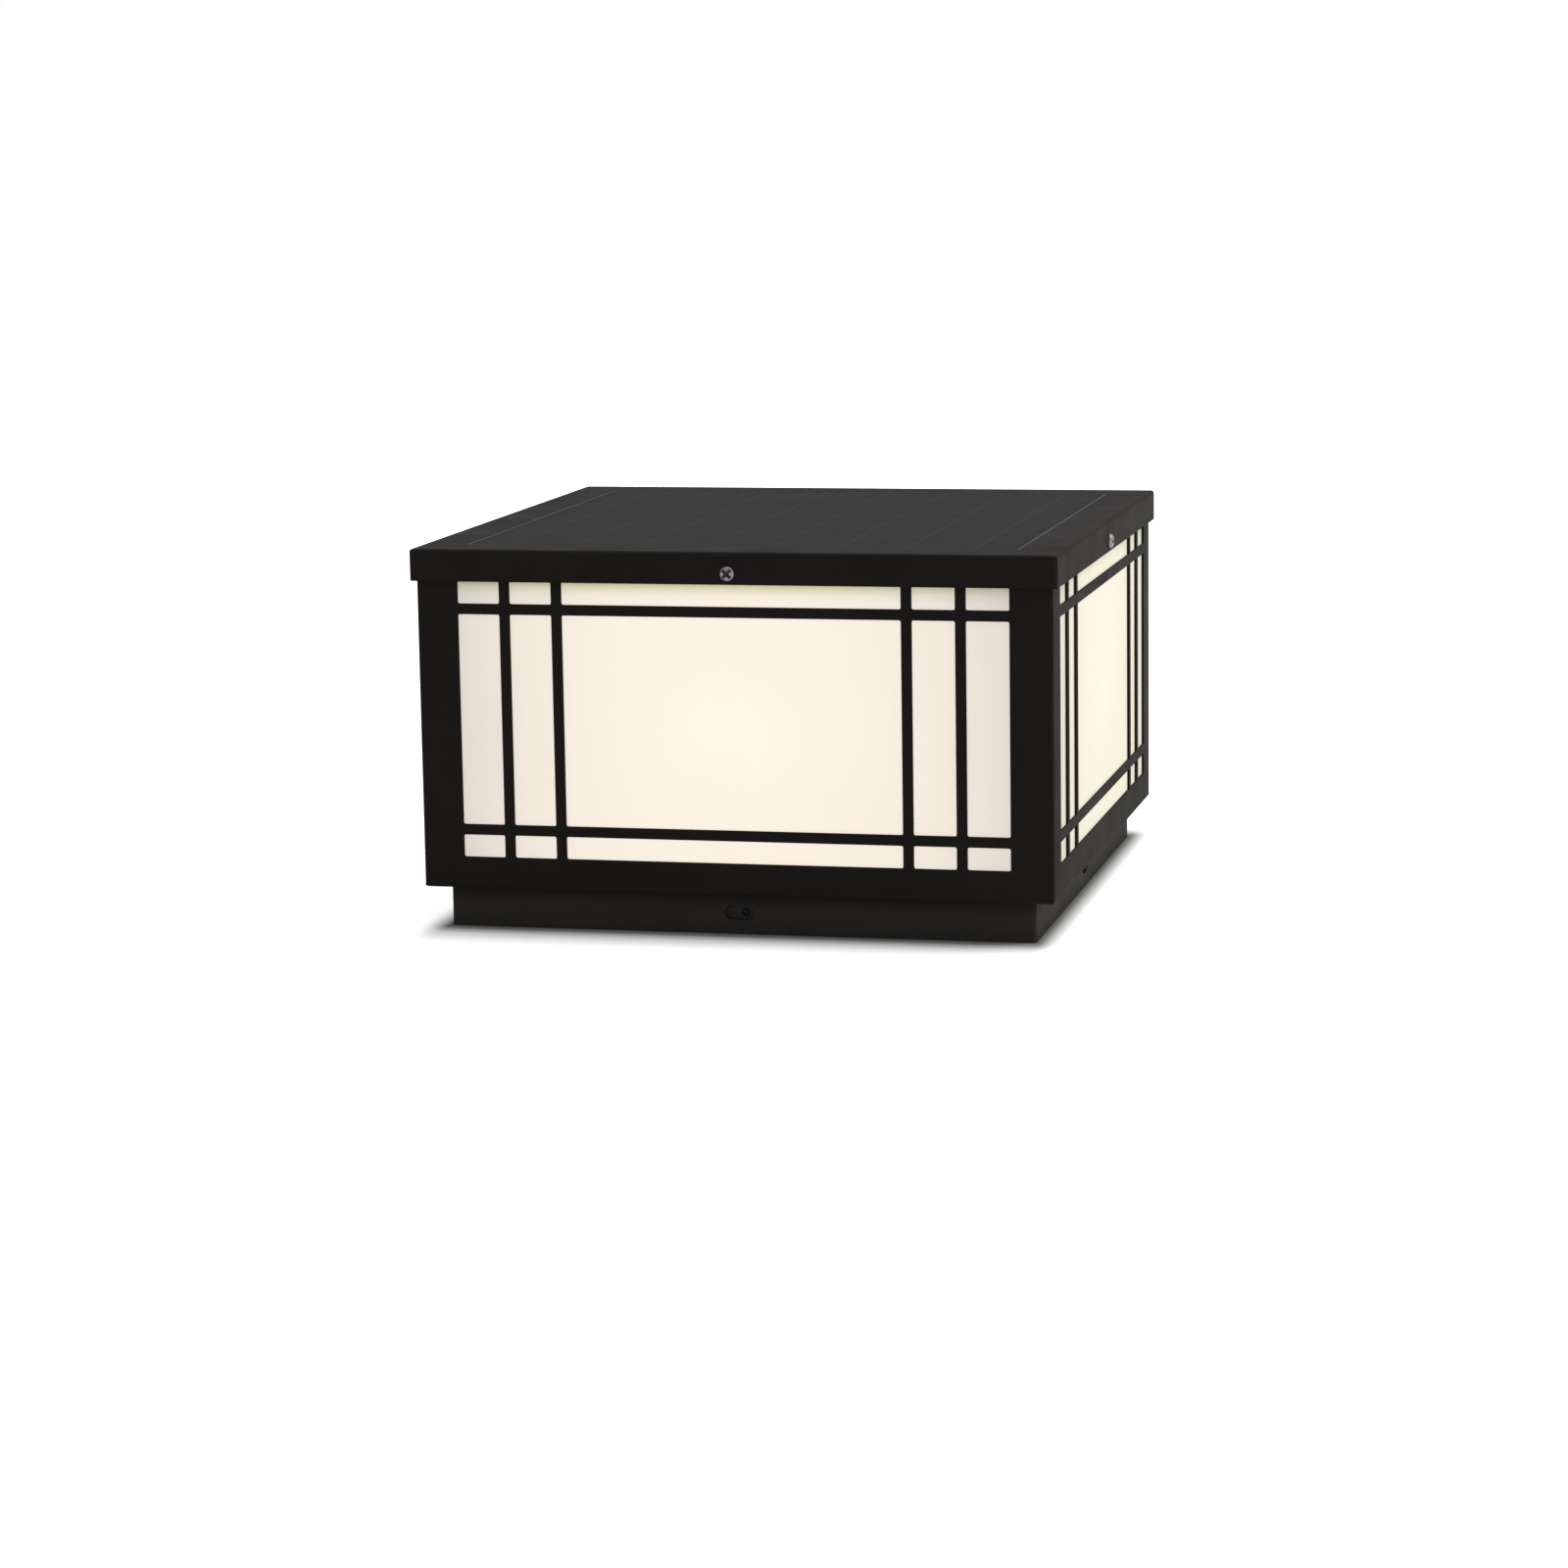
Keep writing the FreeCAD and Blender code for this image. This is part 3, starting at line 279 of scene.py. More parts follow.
def edge_weights(mesh, marks, part):
    """How much of the rounding each edge gets: all of it where the edge joins a point marked 1 to one
    marked -1, the given part where the sum of its two face normals is short, so that they turn by
    more than SHARP_FOLD, and none elsewhere."""
    ends = read_mesh(mesh.edges, "vertices", 2)
    normals = read_mesh(mesh.polygons, "normal", 3, np.float32)
    both = np.zeros((len(mesh.edges), 3))
    np.add.at(both, read_mesh(mesh.loops, "edge_index"),
              np.repeat(normals, read_mesh(mesh.polygons, "loop_total"), 0))
    weight = np.where((both ** 2).sum(1) / 2 - 1 < cos(SHARP_FOLD), part, 0.0)
    return np.where(marks[ends].prod(1) < 0, 1.0, weight)


def make_piece(name, surface, nodes, edge=0.0, corner=0.0, marks=None):
    """Puts a closed surface into the scene with its faces outwards. It stands for its nodes, and has
    their body and finish. Edges are rounded by edge, and marked ones by corner."""
    points, blocks, *shades = surface
    if signed_volume(points, blocks) < 0:
        blocks = [block[:, ::-1] for block in blocks]
    counts = np.concatenate([np.full(len(block), block.shape[1]) for block in blocks])
    mesh = bpy.data.meshes.new(name)
    mesh.vertices.add(len(points))
    mesh.vertices.foreach_set("co", points.astype(np.float32).ravel())
    mesh.loops.add(int(counts.sum()))
    point_numbers = np.concatenate([block.ravel() for block in blocks])
    mesh.loops.foreach_set("vertex_index", point_numbers.astype(np.int32))
    mesh.polygons.add(len(counts))
    mesh.polygons.foreach_set("loop_start", (np.cumsum(counts) - counts).astype(np.int32))
    mesh.update(calc_edges=True)
    if mesh.validate():
        raise RuntimeError(name + " has faces that do not hold")
    mesh.polygons.foreach_set("use_smooth", np.ones(len(mesh.polygons), bool))
    if shades:
        mesh.attributes.new("shade", "FLOAT", "POINT").data.foreach_set("value", shades[0].astype(np.float32))
    mesh.materials.append(finish_for(SLOT_OF[nodes[0]]))
    piece = bpy.data.objects.new(name, mesh)
    bpy.context.scene.collection.objects.link(piece)
    if edge:
        marks = np.zeros(len(points)) if marks is None else marks
        rounding = piece.modifiers.new("Rounded Edges", "BEVEL")
        rounding.width = max(edge, corner)
        rounding.segments = 3
        rounding.limit_method = "WEIGHT"
        rounding.use_clamp_overlap = False
        rounding.harden_normals = True
        weights = edge_weights(mesh, marks, edge / max(edge, corner)).astype(np.float32)
        mesh.attributes.new("bevel_weight_edge", "FLOAT", "EDGE").data.foreach_set("value", weights)
    else:
        mesh.set_sharp_from_angle(angle=SHARP_PIECE)
    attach(piece, BODY_OF[nodes[0]])
    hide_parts(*nodes)


def make_on_sides(name, node, surface, **rounding):
    """Makes a front piece on all four sides: x' = c x - s y and y' = s x + c y for each right angle."""
    points, blocks = surface
    for side, c, s in zip(SIDES, (1, 0, -1, 0), (0, 1, 0, -1)):
        turned = points @ np.array([[c, s, 0], [-s, c, 0], [0, 0, 1]], float)
        make_piece(name + side, (turned, blocks), [node + side], **rounding)


def plate_surface(half, corner, low, high, edge):
    """A square plate: its side profile is the quarter circle at each edge, carried round the rounded
    square, with a ring HOLD inside each face."""
    turn = quarter_arc(4)
    lower_half = half - edge + edge * np.sin(turn)
    lower_level = low + edge - edge * np.cos(turn)
    widths = np.concatenate([[half - edge - HOLD], lower_half, lower_half[::-1], [half - edge - HOLD]])
    level = np.concatenate([[low], lower_level, (low + high - lower_level)[::-1], [high]])
    return closed_rings(square_rings(widths, np.maximum(corner + widths - half, corner / 4), level))


def lid_surface(sizes):
    """The lid as one profile carried round the rounded square: up the outside of the skirt, over the
    fold, down into the pan, in to the lead hole, and back along the underside. Each point of the profile
    has its half width, height, corner radius and fold radius."""
    outer, top, bottom = LID_HIGH.x, LID_HIGH.z, LID_LOW.z
    sheet, edge, fold, inner_fold = sizes.sheet, sizes.edge, sizes.bend, sizes.inner_bend
    pan, pan_floor = sizes.pan_width / 2, top - sizes.pan_depth
    nearly_round = 0.98
    hole, hole_corner = sizes.lead_hole, sizes.lead_hole * nearly_round
    wide, pan_corner = sizes.corner, sizes.pan_corner
    profile = np.array([
        (outer, bottom, wide, edge),
        (outer, top, wide, fold),
        (pan, top, pan_corner, inner_fold),
        (pan, pan_floor, pan_corner, inner_fold),
        (hole, pan_floor, hole_corner, edge),
        (hole, pan_floor - sheet, hole_corner, edge),
        (pan + sheet, pan_floor - sheet, pan_corner + sheet, fold),
        (pan + sheet, top - sheet, pan_corner + sheet, inner_fold),
        (outer - sheet, top - sheet, inner_fold * 2, inner_fold),
        (outer - sheet, bottom, inner_fold * 2, edge),
    ])
    half, level = rounded_loop(profile[:, :2], profile[:, 3]).T
    profile = np.repeat(profile, len(half) // len(profile), 0)
    corner = profile[:, 2] + np.clip(half - profile[:, 0], -fold, fold)
    return tube(square_rings(half, np.clip(corner, HOLD, half * nearly_round), level))


def lattice_lines(sizes):
    """Edges of the panes and bars, going up: distances from the middle, and heights."""
    across = sizes.window_width / 2 - np.cumsum([0] + [sizes.side_gap, sizes.lattice_bar] * 2)
    end = np.cumsum([0, sizes.end_gap, sizes.lattice_bar])
    low = PANEL_LOW.z + sizes.window_sill
    return across[::-1], np.concatenate([low + end, low + sizes.window_height - end[::-1]])


def panel_skin(sizes, offset, radius):
    """One skin of a side panel as a grid. Rows follow the folded section: in from the foot, round the
    fold, up the wall, and the same mirrored with a shorter head. Columns run along the panel. The last
    ones follow the mitre, where |x| equals the distance of the section point from the axis, and the
    outer skin rounds the upright corner there. Every second band between the lattice lines is a pane.
    Returns the grid, and a mask of what is sheet."""
    face = -PANEL_LOW.y
    across, up = lattice_lines(sizes)
    low = PANEL_LOW.z + offset
    arc = np.stack([offset + radius - radius * np.sin(quarter_arc()),
                    low + radius - radius * np.cos(quarter_arc())], -1)
    foot = np.array([[PANEL_HIGH.y - PANEL_LOW.y, low], [offset + radius + HOLD, low], *arc,
                     [offset, arc[-1, 1] + HOLD]])
    head = foot[::-1] * (1, -1) + (0, PANEL_LOW.z + PANEL_HIGH.z)
    head[-1, 0] *= sizes.top_flange
    level = np.concatenate([up, [SCREW_HEIGHT - 1.5 * sizes.notch_radius, SCREW_HEIGHT]])
    section = np.concatenate([foot, np.stack([np.full(len(level), offset), level], -1), head])
    depth, height = section[:, :1], section[:, 1:]

    notch_lines = sizes.notch_radius * np.cos(quarter_arc(5)[:-1])
    inside = np.sort(np.concatenate([across, [sizes.nut_way], notch_lines]))
    lines = np.concatenate([-inside[::-1], [0], inside])
    rounding = max(sizes.corner - offset, sizes.inner_bend / 2)
    flat = face - offset - rounding
    turn = quarter_arc(7)[:4]
    on_wall = depth < offset + HOLD / 100
    flange_end = np.minimum(face - depth, flat + rounding * cos(pi / 4))
    end_x = np.where(on_wall, flat + rounding * np.sin(turn), flange_end - HOLD * (3 - np.arange(4)))
    end_y = np.where(on_wall, flat + rounding * np.cos(turn), face - depth)
    x = np.concatenate([-end_x[:, ::-1], np.broadcast_to(lines, (len(section), len(lines))), end_x], 1)
    y = np.concatenate([end_y[:, ::-1], np.repeat(face - depth, len(lines), 1), end_y], 1)
    z = np.repeat(height, x.shape[1], 1)
    notch_row = len(foot) + len(level) - 1
    z[notch_row] -= np.sqrt(np.clip(sizes.notch_radius ** 2 - x[notch_row] ** 2, 0, None))

    distance = np.abs(x[:-1, :-1] + x[:-1, 1:]) / 2
    row = np.arange(len(section) - 1)[:, None]
    pane = np.isin(np.searchsorted(across, distance), PANE_BANDS) & np.isin(row - len(foot), PANE_BANDS)
    notch = (distance < sizes.notch_radius) & (row >= notch_row)
    nut_way = (distance < sizes.nut_way) & (row > notch_row + ARC_STEPS)
    return np.stack([x, -y, z], -1), ~(pane | notch | nut_way)


def sheet_between(outer, inner, solid, ring=False):
    """Closes two skins of equal grids into a sheet: the outer quads, the inner quads turned over, and a
    wall along every side of a solid cell that has no solid neighbour. On a ring the last column meets
    the first. Returns points, blocks and the grid number that each point had."""
    rows, columns = outer.shape[:2]
    points = np.concatenate([outer.reshape(-1, 3), inner.reshape(-1, 3)])
    index = np.arange(rows * columns).reshape(rows, columns)
    if ring:
        index = np.concatenate([index, index[:, :1]], 1)
    a, b, c, d = index[:-1, :-1], index[1:, :-1], index[1:, 1:], index[:-1, 1:]
    skin = np.stack([a, b, c, d], -1)[solid]
    padded = np.pad(solid, 1)
    if ring:
        padded[1:-1, 0], padded[1:-1, -1] = solid[:, -1], solid[:, 0]
    walls = []
    for beside, first, second in ((padded[1:-1, :-2], a, b), (padded[2:, 1:-1], b, c),
                                  (padded[1:-1, 2:], c, d), (padded[:-2, 1:-1], d, a)):
        start, end = first[solid & ~beside], second[solid & ~beside]
        walls.append(np.stack([end, start, start + rows * columns, end + rows * columns], -1))
    faces = np.concatenate([skin, skin[:, ::-1] + rows * columns] + walls)
    used, numbered = np.unique(faces, return_inverse=True)
    return points[used], [numbered.reshape(-1, 4)], used


def panel_surface(sizes):
    """The front panel: its outer and inner skins, one sheet apart, with window, notch and flanges. Marks
    are 1 and -1 on the skins at each pane's corners, where three of the four cells around are sheet."""
    outer, solid = panel_skin(sizes, 0.0, sizes.bend)
    inner, _ = panel_skin(sizes, sizes.sheet, sizes.inner_bend)
    points, blocks, used = sheet_between(outer, inner, solid)
    padded = np.pad(solid.astype(int), 1)
    corner = padded[:-1, :-1] + padded[1:, :-1] + padded[:-1, 1:] + padded[1:, 1:] == 3
    corner &= (outer[..., 2] < LID_LOW.z + HOLD) & (outer[..., 2] > PANEL_LOW.z + sizes.window_sill - HOLD)
    return (points, blocks), np.concatenate([corner.ravel(), -1.0 * corner.ravel()])[used]


def collar_surface(sizes):
    """The plinth: a profile up the wall, over the fold and in along the flange, carried round the rounded
    square as two skins one sheet apart. Two rows of the wall follow the slot, at its middle plus and
    minus the root of the end radius squared less the square of the distance beyond the flat."""
    end_radius = sizes.slot_height / 2
    flat = sizes.slot_length / 2 - end_radius
    almost_round = 0.9
    turn = quarter_arc()
    reach = flat + end_radius * np.sin(turn * almost_round)
    lines = np.concatenate([reach[::-1], [0], -reach])
    before_lines = ARC_STEPS + 2
    columns = before_lines + len(lines)
    beyond = np.full((4, columns), reach[-1])
    beyond[:, before_lines:] = np.maximum(np.abs(lines), flat)
    half_height = np.sqrt(end_radius ** 2 - (beyond - flat) ** 2).ravel()
    skins = []
    for offset, radius in ((0.0, sizes.bend), (sizes.sheet, sizes.inner_bend)):
        wall, top = COLLAR_HIGH.x - offset, COLLAR_HIGH.z - offset
        half = np.concatenate([[wall] * 4, wall - radius + radius * np.cos(turn),
                               [wall - radius - HOLD, COLLAR_HIGH.x - sizes.plinth_flange]])
        level = np.concatenate([[COLLAR_LOW.z, SLOT_MIDDLE, SLOT_MIDDLE, top - radius - HOLD],
                                top - radius + radius * np.sin(turn), [top, top]])
        corner = np.clip(sizes.corner - offset + half - wall, sizes.inner_bend, None)
        corner[-1] = sizes.corner
        rings = square_rings(half, corner, level, lines)
        rings[1, :, 2] -= half_height
        rings[2, :, 2] += half_height
        skins.append(rings)
    solid = np.ones((len(half) - 1, 4, columns), bool)
    solid[1, :, before_lines:-1] = False
    return sheet_between(*skins, solid.reshape(-1, 4 * columns), ring=True)[:2]


def diffuser_surface(sizes):
    """A flat opal sheet as two skins on a grid, with a way for the nut of the lid screw cut from the top."""
    x, z = np.meshgrid([-SHEET_HIGH.x, -sizes.nut_way, sizes.nut_way, SHEET_HIGH.x],
                       [SHEET_LOW.z, SCREW_HEIGHT - sizes.nut_drop, SHEET_HIGH.z])
    front, back = (np.stack([x, np.full_like(x, y), z], -1) for y in (SHEET_LOW.y, SHEET_HIGH.y))
    return sheet_between(front, back, np.array([[True, True, True], [True, False, True]]))[:2]


def smooth_step(low, high, value):
    rise = np.clip((value - low) / (high - low), 0, 1)
    return rise * rise * (3 - 2 * rise)


def cross_head_screw(sizes, head, rise, shank, length, turn, around, steps):
    """A pan-head screw on the Z axis with its head up. The crown is flat in the middle and falls to its
    rim by a share of one less the root of one less a power of the radius over the head's. A cross recess
    goes into it: its depth fades in from just outside the edge of the nearer arm to just inside, and
    falls to half towards the arm's end. The shade is 1 in the recess and 0 elsewhere."""
    crown_fall, crown_power = 0.80, 2.6
    fade_outside, fade_inside = 0.02, -0.06
    arm, arm_half, sink = head * sizes.cross_reach, head * sizes.cross_width, rise * sizes.cross_depth
    r, a = np.meshgrid(head * np.linspace(1, 0, steps + 1)[:-1] ** 0.85, full_turn(around), indexing="ij")
    x, y = np.abs(r * np.cos(a + turn)), np.abs(r * np.sin(a + turn))
    crown = rise * crown_fall * (1 - np.sqrt(np.clip(1 - (r / head) ** crown_power, 0, 1)))
    across, along = np.minimum(x, y), np.maximum(x, y)
    recess = smooth_step(fade_outside, fade_inside, np.maximum(across - arm_half, along - arm) / head)
    top_level = rise - crown - sink * recess * (1 - 0.5 * np.minimum(along / arm, 1))
    side_radius = np.array([shank * 0.8, shank, shank, head * 0.95, head])[:, None]
    side_level = np.array([-length, shank * 0.3 - length, 0, 0, rise * 0.1])[:, None]
    side = around_axis(side_radius, side_level, a[0])
    shades = np.concatenate([np.zeros(side[..., 0].size), recess.ravel(), [0, 1]])
    return *closed_rings(np.concatenate([side, around_axis(r, top_level, a)])), shades


def hexagon_radius(across, turn):
    """Half the width across flats over the cosine of the angle to the middle of the nearest flat."""
    return across / 2 / np.cos(turn % (pi / 3) - pi / 6)


def set_screw(shank, length, socket, edge):
    """A set screw on the Z axis with a chamfered rim, a hexagon socket and a cone at its foot."""
    turn = full_turn(72)
    barrel = np.full_like(turn, shank)
    key = hexagon_radius(socket, turn)
    radius = np.stack([barrel * 0.6, barrel, barrel, barrel - edge, key + edge / 2, key, key])
    level = np.array([-length, -length + shank * 0.5, -edge, 0, 0, -edge / 2, -shank * 0.8])[:, None]
    return closed_rings(around_axis(radius, level, turn))


def hexagon_nut(across, height, bore, first_corner):
    """A nut on the Z axis. Its corners fall away at 30 degrees from a circle just inside the flats, and
    its bore has a small chamfer at each end."""
    turn = full_turn(48)
    outline = hexagon_radius(across, turn - first_corner)
    circle = np.full_like(turn, across * 0.48)
    fall = (outline - circle) * tan(radians(30))
    chamfer = bore * 0.15
    hole = np.full_like(turn, bore)
    radius = np.stack([hole, hole + chamfer, circle, outline, outline, circle, hole + chamfer, hole])
    flat = np.zeros_like(turn)
    low = np.stack([flat + chamfer, flat, flat, fall])
    return tube(around_axis(radius, np.concatenate([low, height - low[::-1]]), turn))


def threaded_stud(radius, length, threaded, pitch):
    """A stud on the Z axis: over its upper, threaded length its radius falls by a triangle wave of height
    over pitch less angle over a turn, and both ends are chamfered."""
    turn = full_turn(20)[None]
    steps = int(round(threaded / pitch)) * 4
    level = np.concatenate([[0, pitch / 2], np.linspace(length - threaded, length, steps + 1)])[:, None]
    wave = np.abs(2 * ((level / pitch - turn / (2 * pi)) % 1) - 1)
    wave = np.where(level < length - threaded + pitch / 8, 0, wave)
    deep = pitch * 0.54
    ends = deep - np.minimum(level, length - level)
    return closed_rings(around_axis(radius - np.maximum(deep * wave, np.clip(ends, 0, None)), level, turn))


def blind_rivet(head, rise, shank, bulb, bulb_length, grip):
    """A set blind rivet on the Z axis with its head up: a profile of swollen tail, shank, dome and
    mandrel hole, turned about the axis."""
    dome = np.linspace(0.12, 1, 9)
    radius = np.concatenate([[shank * 0.5, bulb * 0.9, bulb, bulb, shank, shank, head, head],
                             head * np.cos(dome * 1.15), [shank * 0.62, shank * 0.5, shank * 0.45]])
    tail = -bulb_length * np.array([1, 1, 0.8, 0.2, 0])
    crown = rise * np.concatenate([[0, 0, 0.15], 0.15 + 0.85 * np.sin(dome * pi / 2), [1, 0.9, 0.45]])
    level = np.concatenate([tail, grip + crown])
    return closed_rings(around_axis(radius[:, None], level[:, None], full_turn(32)))


def light_chip(width, height, thickness):
    """A chip on the Z axis: rounded rectangles for its base, its rim and its sunk window. The shade is
    1 on the window and 0 on the frame."""
    turn = (np.arange(16) + 0.5) * pi / 8
    squarish = 1 / np.maximum(np.abs(np.cos(turn)), np.abs(np.sin(turn))) ** 0.8
    reach = np.array([1, 1, 0.95, 0.80, 0.76, 0.76])[:, None] * squarish
    level = np.array([0, 0.75, 1, 1, 0.8, 0.8])[:, None] * thickness
    rings = around_axis(reach, level, turn) * (width / 2, height / 2, 1)
    rings[-1] *= (0.5, 0.5, 1)
    return *closed_rings(rings), np.append(np.repeat([0, 0, 0, 0, 1, 1], len(turn)), [0, 1])


def push_button(radius, length, edge):
    """A button on the Z axis with its finger side up: a dished middle, a ring round it and a soft rim."""
    turn = quarter_arc(6)
    dish_reach = 0.70
    dish = np.linspace(dish_reach, 0.1, 8)
    across = np.concatenate([[radius, radius], radius - edge + edge * np.cos(turn), radius * dish])
    level = np.concatenate([[0, length - edge - HOLD], length - edge + edge * np.sin(turn),
                            length - edge * 0.6 * (1 - (dish / dish_reach) ** 2)])
    return closed_rings(around_axis(across[:, None], level[:, None], full_turn(48)))


def solid_boxes(node):
    """Lowest and highest corner of each solid of a node. Vertices at one place are merged, and each takes
    the lowest number among those that share a triangle with it, over and over, until none changes."""
    mesh = frame["nodes"][node].data
    places = np.round(read_mesh(mesh.vertices, "co", 3, np.float32), 6)
    places, merged = np.unique(places, axis=0, return_inverse=True)
    triangles = merged.ravel()[read_mesh(mesh.loops, "vertex_index")].reshape(-1, 3)
    label = np.arange(len(places))
    before = None
    while before is None or (before != label).any():
        before = label.copy()
        np.minimum.at(label, triangles.ravel(), np.repeat(before[triangles].min(1), 3))
        label = label[label]
    names, owner = np.unique(label, return_inverse=True)
    low = np.full((len(names), 3), np.inf)
    high = np.full((len(names), 3), -np.inf)
    np.minimum.at(low, owner.ravel(), places)
    np.maximum.at(high, owner.ravel(), places)
    return low, high


TURNED_ORDER = {"x": [1, 2, 0], "y": [2, 0, 1], "z": [0, 1, 2]}


def place_each(node, way, make):
    """Makes one surface for each solid of a node with make(size, count) and joins them in place. A piece
    is made on +Z. It is turned to point up or down, or out from the lamp or in from the nearest side,
    with its axes in cyclic order and two turned over for a negative direction. Its foot is the middle
    of the face of the solid's box that lies behind it, and size is that box in the piece's order."""
    points, blocks, shades = [], [], []
    start = 0
    for count, (low, high) in enumerate(zip(*solid_boxes(node))):
        foot = (low + high) / 2
        if way in ("up", "down"):
            axis, forward = "z", way == "up"
        else:
            axis = "x" if abs(foot[0]) > abs(foot[1]) else "y"
            forward = (foot["xyz".index(axis)] > 0) == (way == "out")
        order = TURNED_ORDER[axis]
        foot[order[2]] = (low if forward else high)[order[2]]
        made, faces, *shade = make((high - low)[order], count)
        sign = 1.0 if forward else -1.0
        laid = np.empty_like(made)
        laid[:, order] = (made - (0, 0, made[:, 2].min())) * (1, sign, sign)
        points.append(laid + foot)
        blocks += [block + start for block in faces]
        shades += shade
        start += len(made)
    joined = np.concatenate(points), blocks
    return (*joined, np.concatenate(shades)) if shades else joined


# Shader building blocks

class Value:
    """A shader socket that can be reckoned with: a sign between values adds a Math node beside them."""

    def __init__(self, socket):
        self.socket = socket
        self.tree = socket.id_data

    def __add__(self, other):
        return reckon("ADD", self, other)

    def __sub__(self, other):
        return reckon("SUBTRACT", self, other)

    def __rsub__(self, other):
        return reckon("SUBTRACT", other, self)

    def __mul__(self, other):
        return reckon("MULTIPLY", self, other)

    def __truediv__(self, other):
        return reckon("DIVIDE", self, other)

    def __pow__(self, other):
        return reckon("POWER", self, other)

    def __abs__(self):
        return reckon("ABSOLUTE", self)


def set_inputs(node, inputs):
    """Sets or wires a node's inputs, by name or number."""
    for key, value in inputs.items():
        socket = node.inputs[key]
        if isinstance(value, Value):
            node.id_data.links.new(value.socket, socket)
        else:
            socket.default_value = (*value, 1) if socket.type == "RGBA" else value


def add_node(tree, kind, inputs=None, **settings):
    """A node with its settings and inputs, in a tree or beside a value."""
    tree = tree.tree if isinstance(tree, Value) else tree
    node = tree.nodes.new("ShaderNode" + kind)
    for key, setting in settings.items():
        setattr(node, key, setting)
    set_inputs(node, inputs or {})
    return node


def reckon(operation, *terms):
    """The result of a Math node."""
    beside = next(term for term in terms if isinstance(term, Value))
    return Value(add_node(beside, "Math", dict(enumerate(terms)), operation=operation).outputs[0])


def mix(part, first, second, mode="MIX"):
    """Two colours, of which the first or both are values, mixed by part."""
    inputs = {"Factor": part, 6: first, 7: second}
    beside = next(item for item in inputs.values() if isinstance(item, Value))
    return Value(add_node(beside, "Mix", inputs, data_type="RGBA", blend_type=mode).outputs[2])


def tint(base, factor):
    return mix(1.0, base, factor, "MULTIPLY")


def spread(value, from_low, from_high, to_low=0.0, to_high=1.0, kind="LINEAR"):
    """A value from one range to another, held at the ends."""
    inputs = {"Value": value, "From Min": from_low, "From Max": from_high,
              "To Min": to_low, "To Max": to_high}
    return Value(add_node(value, "MapRange", inputs, interpolation_type=kind).outputs["Result"])


def noise(place, scale, detail=2.0, roughness=0.5):
    inputs = {"Vector": place, "Scale": scale, "Detail": detail, "Roughness": roughness}
    return Value(add_node(place, "TexNoise", inputs).outputs["Fac"])


def axes(vector):
    return [Value(output) for output in add_node(vector, "SeparateXYZ", {0: vector}).outputs]


def repeated(value, pitch, offset=0.0):
    """Distance from the middle of a repeat, 0 at the middle and half the pitch at its edge."""
    moved = value - offset
    return abs(moved - reckon("FLOOR", moved / pitch) * pitch - pitch * 0.5)


def band(distance, half_width, softness):
    """1 inside a band about distance 0, fading over softness."""
    return spread(distance, half_width - softness, half_width + softness, 1.0, 0.0)


def socket_name(key):
    return key.replace("_", " ").title()


def new_group(name, **inputs):
    """An empty shader group. Its inputs are given with their defaults: None for coordinates, three
    numbers for a colour and one for a value. Returns the group and its inputs."""
    group = bpy.data.node_groups.new(name, "ShaderNodeTree")
    for key, default in inputs.items():
        kind = "Vector" if default is None else "Color" if isinstance(default, tuple) else "Float"
        socket = group.interface.new_socket(socket_name(key), in_out="INPUT", socket_type="NodeSocket" + kind)
        if default is not None:
            socket.default_value = (*default, 1) if kind == "Color" else default
    source = group.nodes.new("NodeGroupInput")
    return group, SimpleNamespace(**{key: Value(source.outputs[socket_name(key)]) for key in inputs})


def give_outputs(group, **outputs):
    """Gives a shader group its outputs, each a colour or a value as it comes."""
    for key, value in outputs.items():
        kind = "Color" if value.socket.type == "RGBA" else "Float"
        group.interface.new_socket(socket_name(key), in_out="OUTPUT", socket_type="NodeSocket" + kind)
    sink = group.nodes.new("NodeGroupOutput")
    set_inputs(sink, {socket_name(key): value for key, value in outputs.items()})
    return group


def use_group(build, place, **values):
    """Places a shader group, which build makes the first time, and sets or wires its inputs."""
    name = socket_name(build.__name__)
    group = bpy.data.node_groups.get(name) or build(name)
    inputs = {socket_name(key): value for key, value in values.items()}
    node = add_node(place, "Group", {"Place": place, **inputs}, node_tree=group)
    return SimpleNamespace(**{output.name.lower(): Value(output) for output in node.outputs})


def coated_grain(name):
    """Fine pimples of powder coat over a slow unevenness."""
    group, given = new_group(name, place=None, colour=(0.02, 0.02, 0.02), roughness=0.5, grain=1600.0,
                             unevenness=0.3)
    fine = noise(given.place, given.grain, 2.0, 0.6)
    wave = noise(given.place, given.grain * 0.3, 1.0)
    speck = spread(fine, 0.35, 0.75)
    patch = spread(noise(given.place, 35.0, 3.0), 0.3, 0.7, -0.5, 0.5)
    lift = speck * 0.35 + patch * given.unevenness
    lighter = tint(given.colour, (1.6, 1.6, 1.6))
    return give_outputs(group, colour=mix(reckon("MAXIMUM", lift, 0.0), given.colour, lighter),
                        roughness=given.roughness + (patch * 0.10 + speck * 0.08), height=fine + wave * 0.8)


